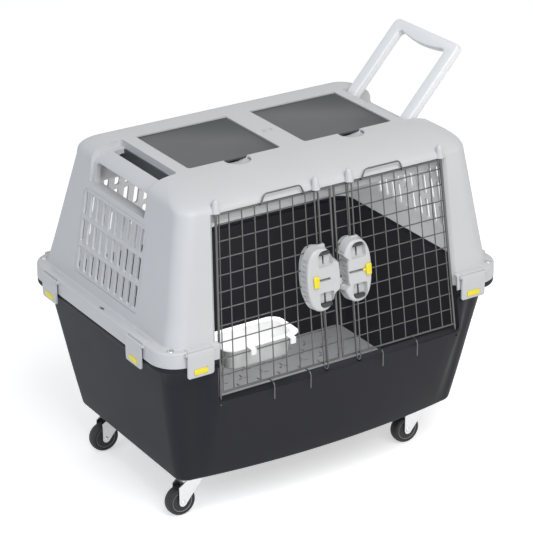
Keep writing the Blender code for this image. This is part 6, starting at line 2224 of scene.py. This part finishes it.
@dataclass
class SwivelCasters:
    """Four swivel casters: a black plate and collar, a zinc fork, an axle and a domed black tyre on a grey hub.

    Attributes:
        form: the shared lines.
        trail: swivel to axle.
        radius: radius of a wheel.
        axle_rise: height of the axles.
        width: width of a wheel.
        cheek: thickness of a fork's cheeks.
        axle: radius of an axle.
        bore: radius of the bores for it.
        base: half length, half width and thickness of a mount's plate.
        collar: mount's top to the foot of its collar.
        boss: radius of a cheek's end round the axle.
        cheek_ends: how far a cheek reaches ahead of and behind the swivel at its top.
        seat: radius of the hub's seat in the tyre.
        dome: how much lower the tread's edges are than its middle.
    """

    form: Form = field(default_factory=Form)
    trail: float = 0.0290
    radius: float = 0.0309
    axle_rise: float = 0.0310
    width: float = 0.0225
    cheek: float = 0.0020
    axle: float = 0.0030
    bore: float = 0.0033
    base: tuple[float, float, float] = (0.0235, 0.0200, 0.0035)
    collar: float = 0.0125
    boss: float = 0.0085
    cheek_ends: tuple[float, float] = (0.0150, 0.0160)
    seat: float = 0.0222
    dome: float = 0.0058

    def mount(self, x: float, y: float) -> Piece:
        """The plate with its collar and brake lug."""
        top = self.form.pad_height - self.form.fit
        half_x, half_y, thick = self.base
        flat = rounded(half_x, -half_y, half_y, 0.006, 0.006)
        low = [Vector((x + u, y + v, top - thick)) for u, v in flat]
        base = round_edges(plate("mount", low, UP * thick), 0.0006, 2)
        profile = ((0, 0.0137), (0.0010, 0.0145), (0.003, 0.0155))
        profile += ((0.0070, 0.0155), (0.0078, 0.0150), (0.010, 0.0150))
        collar = turned("collar", Vector((x, y, top - self.collar)), UP, profile, 40)
        lug = block("lug", (x - 0.0260, y - 0.0035, top - 0.0115), (x - 0.0140, y + 0.0035, top - 0.0065), 0.0012)
        work(base, Work.JOIN, collar, lug)
        return work(base, Work.CUT, bar("hole", Vector((x, y, top - 0.02)), Vector((x, y, top - 0.0045)), 0.0045, 24))

    def fork(self, x: float, y: float) -> Piece:
        """A crown with a stud and two cheeks that lean back to the axle."""
        top = self.form.pad_height - self.form.fit * 2 - self.collar
        half = self.width / 2 + self.form.run
        axle_x, axle_z, boss = x - self.trail, self.axle_rise, self.boss
        ahead, behind = x + self.cheek_ends[0], x - self.cheek_ends[1]
        cheeks = []
        for side in (-1, 1):
            outline = [(ahead, top), (ahead, top - 0.008)]
            for step in range(13):
                angle = math.radians(-25 - 155 * step / 12)
                outline.append((axle_x + boss * math.cos(angle), axle_z + boss * math.sin(angle)))
            outline += [(axle_x - boss, top - 0.016), (behind, top)]
            low = [Vector((px, y + side * half, pz)) for px, pz in outline]
            cheeks.append(plate("cheek", low, Vector((0, side * self.cheek, 0))))
        wide = half + self.cheek / 2
        crown = block("crown", (x - 0.0158, y - wide, top - 0.0030), (x + 0.0148, y + wide, top - 0.0002))
        stud = bar("stud", Vector((x, y, top - 0.001)), Vector((x, y, top + 0.0070)), 0.0040, 24)
        fork = gather("fork", cheeks)
        work(fork, Work.JOIN, crown, stud)
        near, far = Vector((axle_x, y - 0.03, axle_z)), Vector((axle_x, y + 0.03, axle_z))
        return work(fork, Work.CUT, bar("hole", near, far, self.bore, 24))

    def tyre(self, centre: Vector) -> Piece:
        """The tyre: domed across its tread, with a seat for the hub."""
        half, radius = self.width / 2, self.radius
        profile, steps = [(-half + 0.0015, self.seat), (-half, self.seat + 0.0010)], 12
        for step in range(steps + 1):
            angle = math.pi * step / steps
            rise = math.sin(angle) ** 0.75
            profile.append((-half * math.cos(angle), radius - self.dome * (1 - rise)))
        profile += [(half, self.seat + 0.0010), (half - 0.0015, self.seat)]
        return turned("tyre", centre, Vector((0, 1, 0)), profile, 64)

    def hub(self, centre: Vector) -> Piece:
        """The grey hub disc in the tyre, with a dished face and a bore."""
        half = self.width / 2
        face = ((0.0006, 0.0070), (0.0018, 0.0080), (0.0024, 0.0190), (0.0009, 0.0210), (0.0009, 0.0219))
        profile = [(-half + sink, radius) for sink, radius in face]
        profile += [(half - sink, radius) for sink, radius in reversed(face)]
        hub = turned("hub", centre, Vector((0, 1, 0)), profile, 48)
        way = Vector((0, 0.02, 0))
        return work(hub, Work.CUT, bar("bore", centre - way, centre + way, self.bore, 24))

    def pin(self, centre: Vector) -> Piece:
        """The axle, with a domed head at each end."""
        reach = self.width / 2 + self.form.run + self.cheek
        fit = self.form.fit
        profile = [(-reach - 0.0023, 0.0022), (-reach - 0.0019, 0.0034), (-reach - 0.0010, 0.0042)]
        profile += [(-reach - fit, 0.0042), (-reach - fit, self.axle)]
        profile += [(-place, radius) for place, radius in reversed(profile)]
        return turned("axle", centre, Vector((0, 1, 0)), profile, 28)

    def build(self) -> None:
        """Make the four casters and hand them over."""
        for side in Side:
            for face in Face:
                name = f"{face.word}_{side.word}"
                x, y = side.value * self.form.caster[0], face.value * self.form.caster[1]
                centre = Vector((x - self.trail, y, self.axle_rise))
                fork, wheel = "caster_fork_" + name, "caster_wheel_" + name
                hand_over(smooth(self.mount(x, y)), "crate", BLACK, "black", "caster_mount_" + name)
                hand_over(smooth(self.fork(x, y)), fork, ZINC, "zinc", fork)
                hand_over(smooth(self.tyre(centre), 50), wheel, TYRE, "tyre", wheel)
                hand_over(smooth(self.hub(centre)), wheel, HUB, "tyre")
                hand_over(smooth(self.pin(centre)), fork, ZINC, "zinc", "caster_axle_" + name)


# Studio


@dataclass(frozen=True)
class Lamp:
    """A soft square lamp turned to the crate.

    Attributes:
        place: where it hangs.
        size: its width in metres.
        power: its power in watts.
        colour: the colour of its light.
    """

    place: tuple[float, float, float]
    size: float
    power: float
    colour: tuple[float, float, float] = (1.0, 1.0, 1.0)

    def build(self, target: Vector) -> None:
        """Hang the lamp and turn it to the target."""
        clear_selection()
        bpy.ops.object.light_add(type="AREA", location=self.place)
        lamp = named("lamp")
        lamp.data.shape = "SQUARE"
        lamp.data.size = self.size
        lamp.data.energy = self.power
        lamp.data.color = self.colour
        lamp.rotation_mode = "QUATERNION"
        lamp.rotation_quaternion = (target - Vector(self.place)).to_track_quat("-Z", "Y")


@dataclass
class Studio:
    """A pale floor, a white surround, soft lamps and the camera.

    Attributes:
        place: where the camera stands.
        target: what it looks at.
        lens: focal length in millimetres.
        shift: lens shift along X and Y, as shares of the frame.
        world: strength of the surround.
        floor_glow: what the floor adds to its own light for the camera.
        sensor: width of the camera's sensor in millimetres.
        floor_size, floor_tone: width of the floor, and its grey.
        cabin: power of the lamp in the cabin.
        cabin_place, cabin_size, cabin_tilt: where it hangs, its length and width, and its tilt in degrees.
        lit: the point that the lamps face.
        lamps: the lamps over the crate, before it and to its left.
    """

    place: tuple[float, float, float] = (-2.1565, -3.3902, 2.2109)
    target: tuple[float, float, float] = (0.05363, 0.0, 0.38768)
    lens: float = 148.72
    shift: tuple[float, float] = (-0.04033, -0.00278)
    world: float = 0.40
    floor_glow: float = 0.52
    sensor: float = 36.0
    floor_size: float = 40.0
    floor_tone: float = 0.90
    cabin: float = 2.1
    cabin_place: tuple[float, float, float] = (0.0, -0.10, 0.60)
    cabin_size: tuple[float, float] = (0.40, 0.14)
    cabin_tilt: float = 25.0
    lit: tuple[float, float, float] = (0.0, 0.0, 0.35)
    lamps: tuple[Lamp, ...] = (
        Lamp((-0.2, -2.3, 3.1), 2.4, 88),
        Lamp((-0.9, -3.4, 1.3), 1.6, 8),
        Lamp((-3.2, -0.6, 1.8), 2.0, 24, (0.68, 0.82, 1.0)),
    )

    def camera(self) -> None:
        """Place the camera."""
        clear_selection()
        bpy.ops.object.camera_add(location=self.place)
        camera = named("camera")
        camera.rotation_mode = "QUATERNION"
        way = Vector(self.target) - Vector(self.place)
        camera.rotation_quaternion = way.to_track_quat("-Z", "Y")
        camera.data.lens = self.lens
        camera.data.sensor_width = self.sensor
        camera.data.shift_x, camera.data.shift_y = self.shift
        camera.data.clip_end = 50
        bpy.context.scene.camera = camera

    def seen(self, tree: bpy.types.NodeTree) -> bpy.types.NodeSocket:
        """One for rays from the camera, a mirror or glass, nought for the rays that gather light."""
        path = tree.nodes.new("ShaderNodeLightPath")
        found = path.outputs["Is Camera Ray"]
        for word in ("Is Glossy Ray", "Is Transmission Ray"):
            either = tree.nodes.new("ShaderNodeMath")
            either.operation = "MAXIMUM"
            tree.links.new(found, either.inputs[0])
            tree.links.new(path.outputs[word], either.inputs[1])
            found = either.outputs[0]
        return found

    def surround(self) -> None:
        """A white surround for the camera and for mirrors, dimmer for the light that it gives."""
        scene = bpy.context.scene
        world = scene.world or bpy.data.worlds.new("surround")
        scene.world = world
        world.use_nodes = True
        tree = world.node_tree
        tree.nodes.clear()
        link = tree.links.new
        output = tree.nodes.new("ShaderNodeOutputWorld")
        light, white = tree.nodes.new("ShaderNodeBackground"), tree.nodes.new("ShaderNodeBackground")
        for background, strength in ((light, self.world), (white, 1.0)):
            background.inputs["Color"].default_value = (1, 1, 1, 1)
            background.inputs["Strength"].default_value = strength
        mix = tree.nodes.new("ShaderNodeMixShader")
        link(self.seen(tree), mix.inputs["Fac"])
        link(light.outputs["Background"], mix.inputs[1])
        link(white.outputs["Background"], mix.inputs[2])
        link(mix.outputs["Shader"], output.inputs["Surface"])

    def floor(self) -> None:
        """A wide pale floor."""
        clear_selection()
        bpy.ops.mesh.primitive_plane_add(size=self.floor_size, location=(0, 0, 0))
        floor = named("floor")
        made = bpy.data.materials.new("studio_floor")
        made.use_nodes = True
        tree = made.node_tree
        link = tree.links.new
        shader = tree.nodes["Principled BSDF"]
        shader.inputs["Base Color"].default_value = (self.floor_tone, self.floor_tone, self.floor_tone, 1)
        shader.inputs["Roughness"].default_value = 0.9
        shader.inputs["Specular IOR Level"].default_value = 0.1
        white = node_of(tree, "ShaderNodeEmission", Color=(1, 1, 1, 1), Strength=self.floor_glow)
        both, mix = tree.nodes.new("ShaderNodeAddShader"), tree.nodes.new("ShaderNodeMixShader")
        link(shader.outputs["BSDF"], both.inputs[0])
        link(white.outputs["Emission"], both.inputs[1])
        link(self.seen(tree), mix.inputs["Fac"])
        link(shader.outputs["BSDF"], mix.inputs[1])
        link(both.outputs["Shader"], mix.inputs[2])
        link(mix.outputs["Shader"], tree.nodes["Material Output"].inputs["Surface"])
        floor.data.materials.append(made)

    def cabin_lamp(self) -> None:
        """A faint lamp under the roof, so that the cabin isn't black through the doors."""
        clear_selection()
        bpy.ops.object.light_add(type="AREA", location=self.cabin_place)
        lamp = named("cabin_lamp")
        lamp.data.shape = "RECTANGLE"
        lamp.data.size, lamp.data.size_y = self.cabin_size
        lamp.data.energy = self.cabin
        lamp.rotation_euler = (math.radians(self.cabin_tilt), 0, 0)
        lamp.visible_camera = False
        lamp.visible_glossy = False

    def build(self) -> None:
        """Set the studio up."""
        bpy.context.scene.view_settings.view_transform = "Standard"
        self.camera()
        self.surround()
        self.floor()
        for lamp in self.lamps:
            lamp.build(Vector(self.lit))
        self.cabin_lamp()
        LOG.info("studio is set up")


def main() -> None:
    """Build the crate in order, then the studio."""
    logging.basicConfig(level=logging.INFO, format="%(name)s: %(message)s")
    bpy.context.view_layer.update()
    crews = (BaseTub(), FloorPanel(), UpperShell(), VentGrilles(), RoofLids(), TowHandle(), WireDoors())
    crews += (LatchHousings(), FoodBowl(), WaistLatches(), CornerScrews(), SwivelCasters())
    for crew in crews:
        LOG.info("building %s", type(crew).__name__)
        crew.build()
    Studio().build()
    clear_selection()


if __name__ == "__main__":
    main()
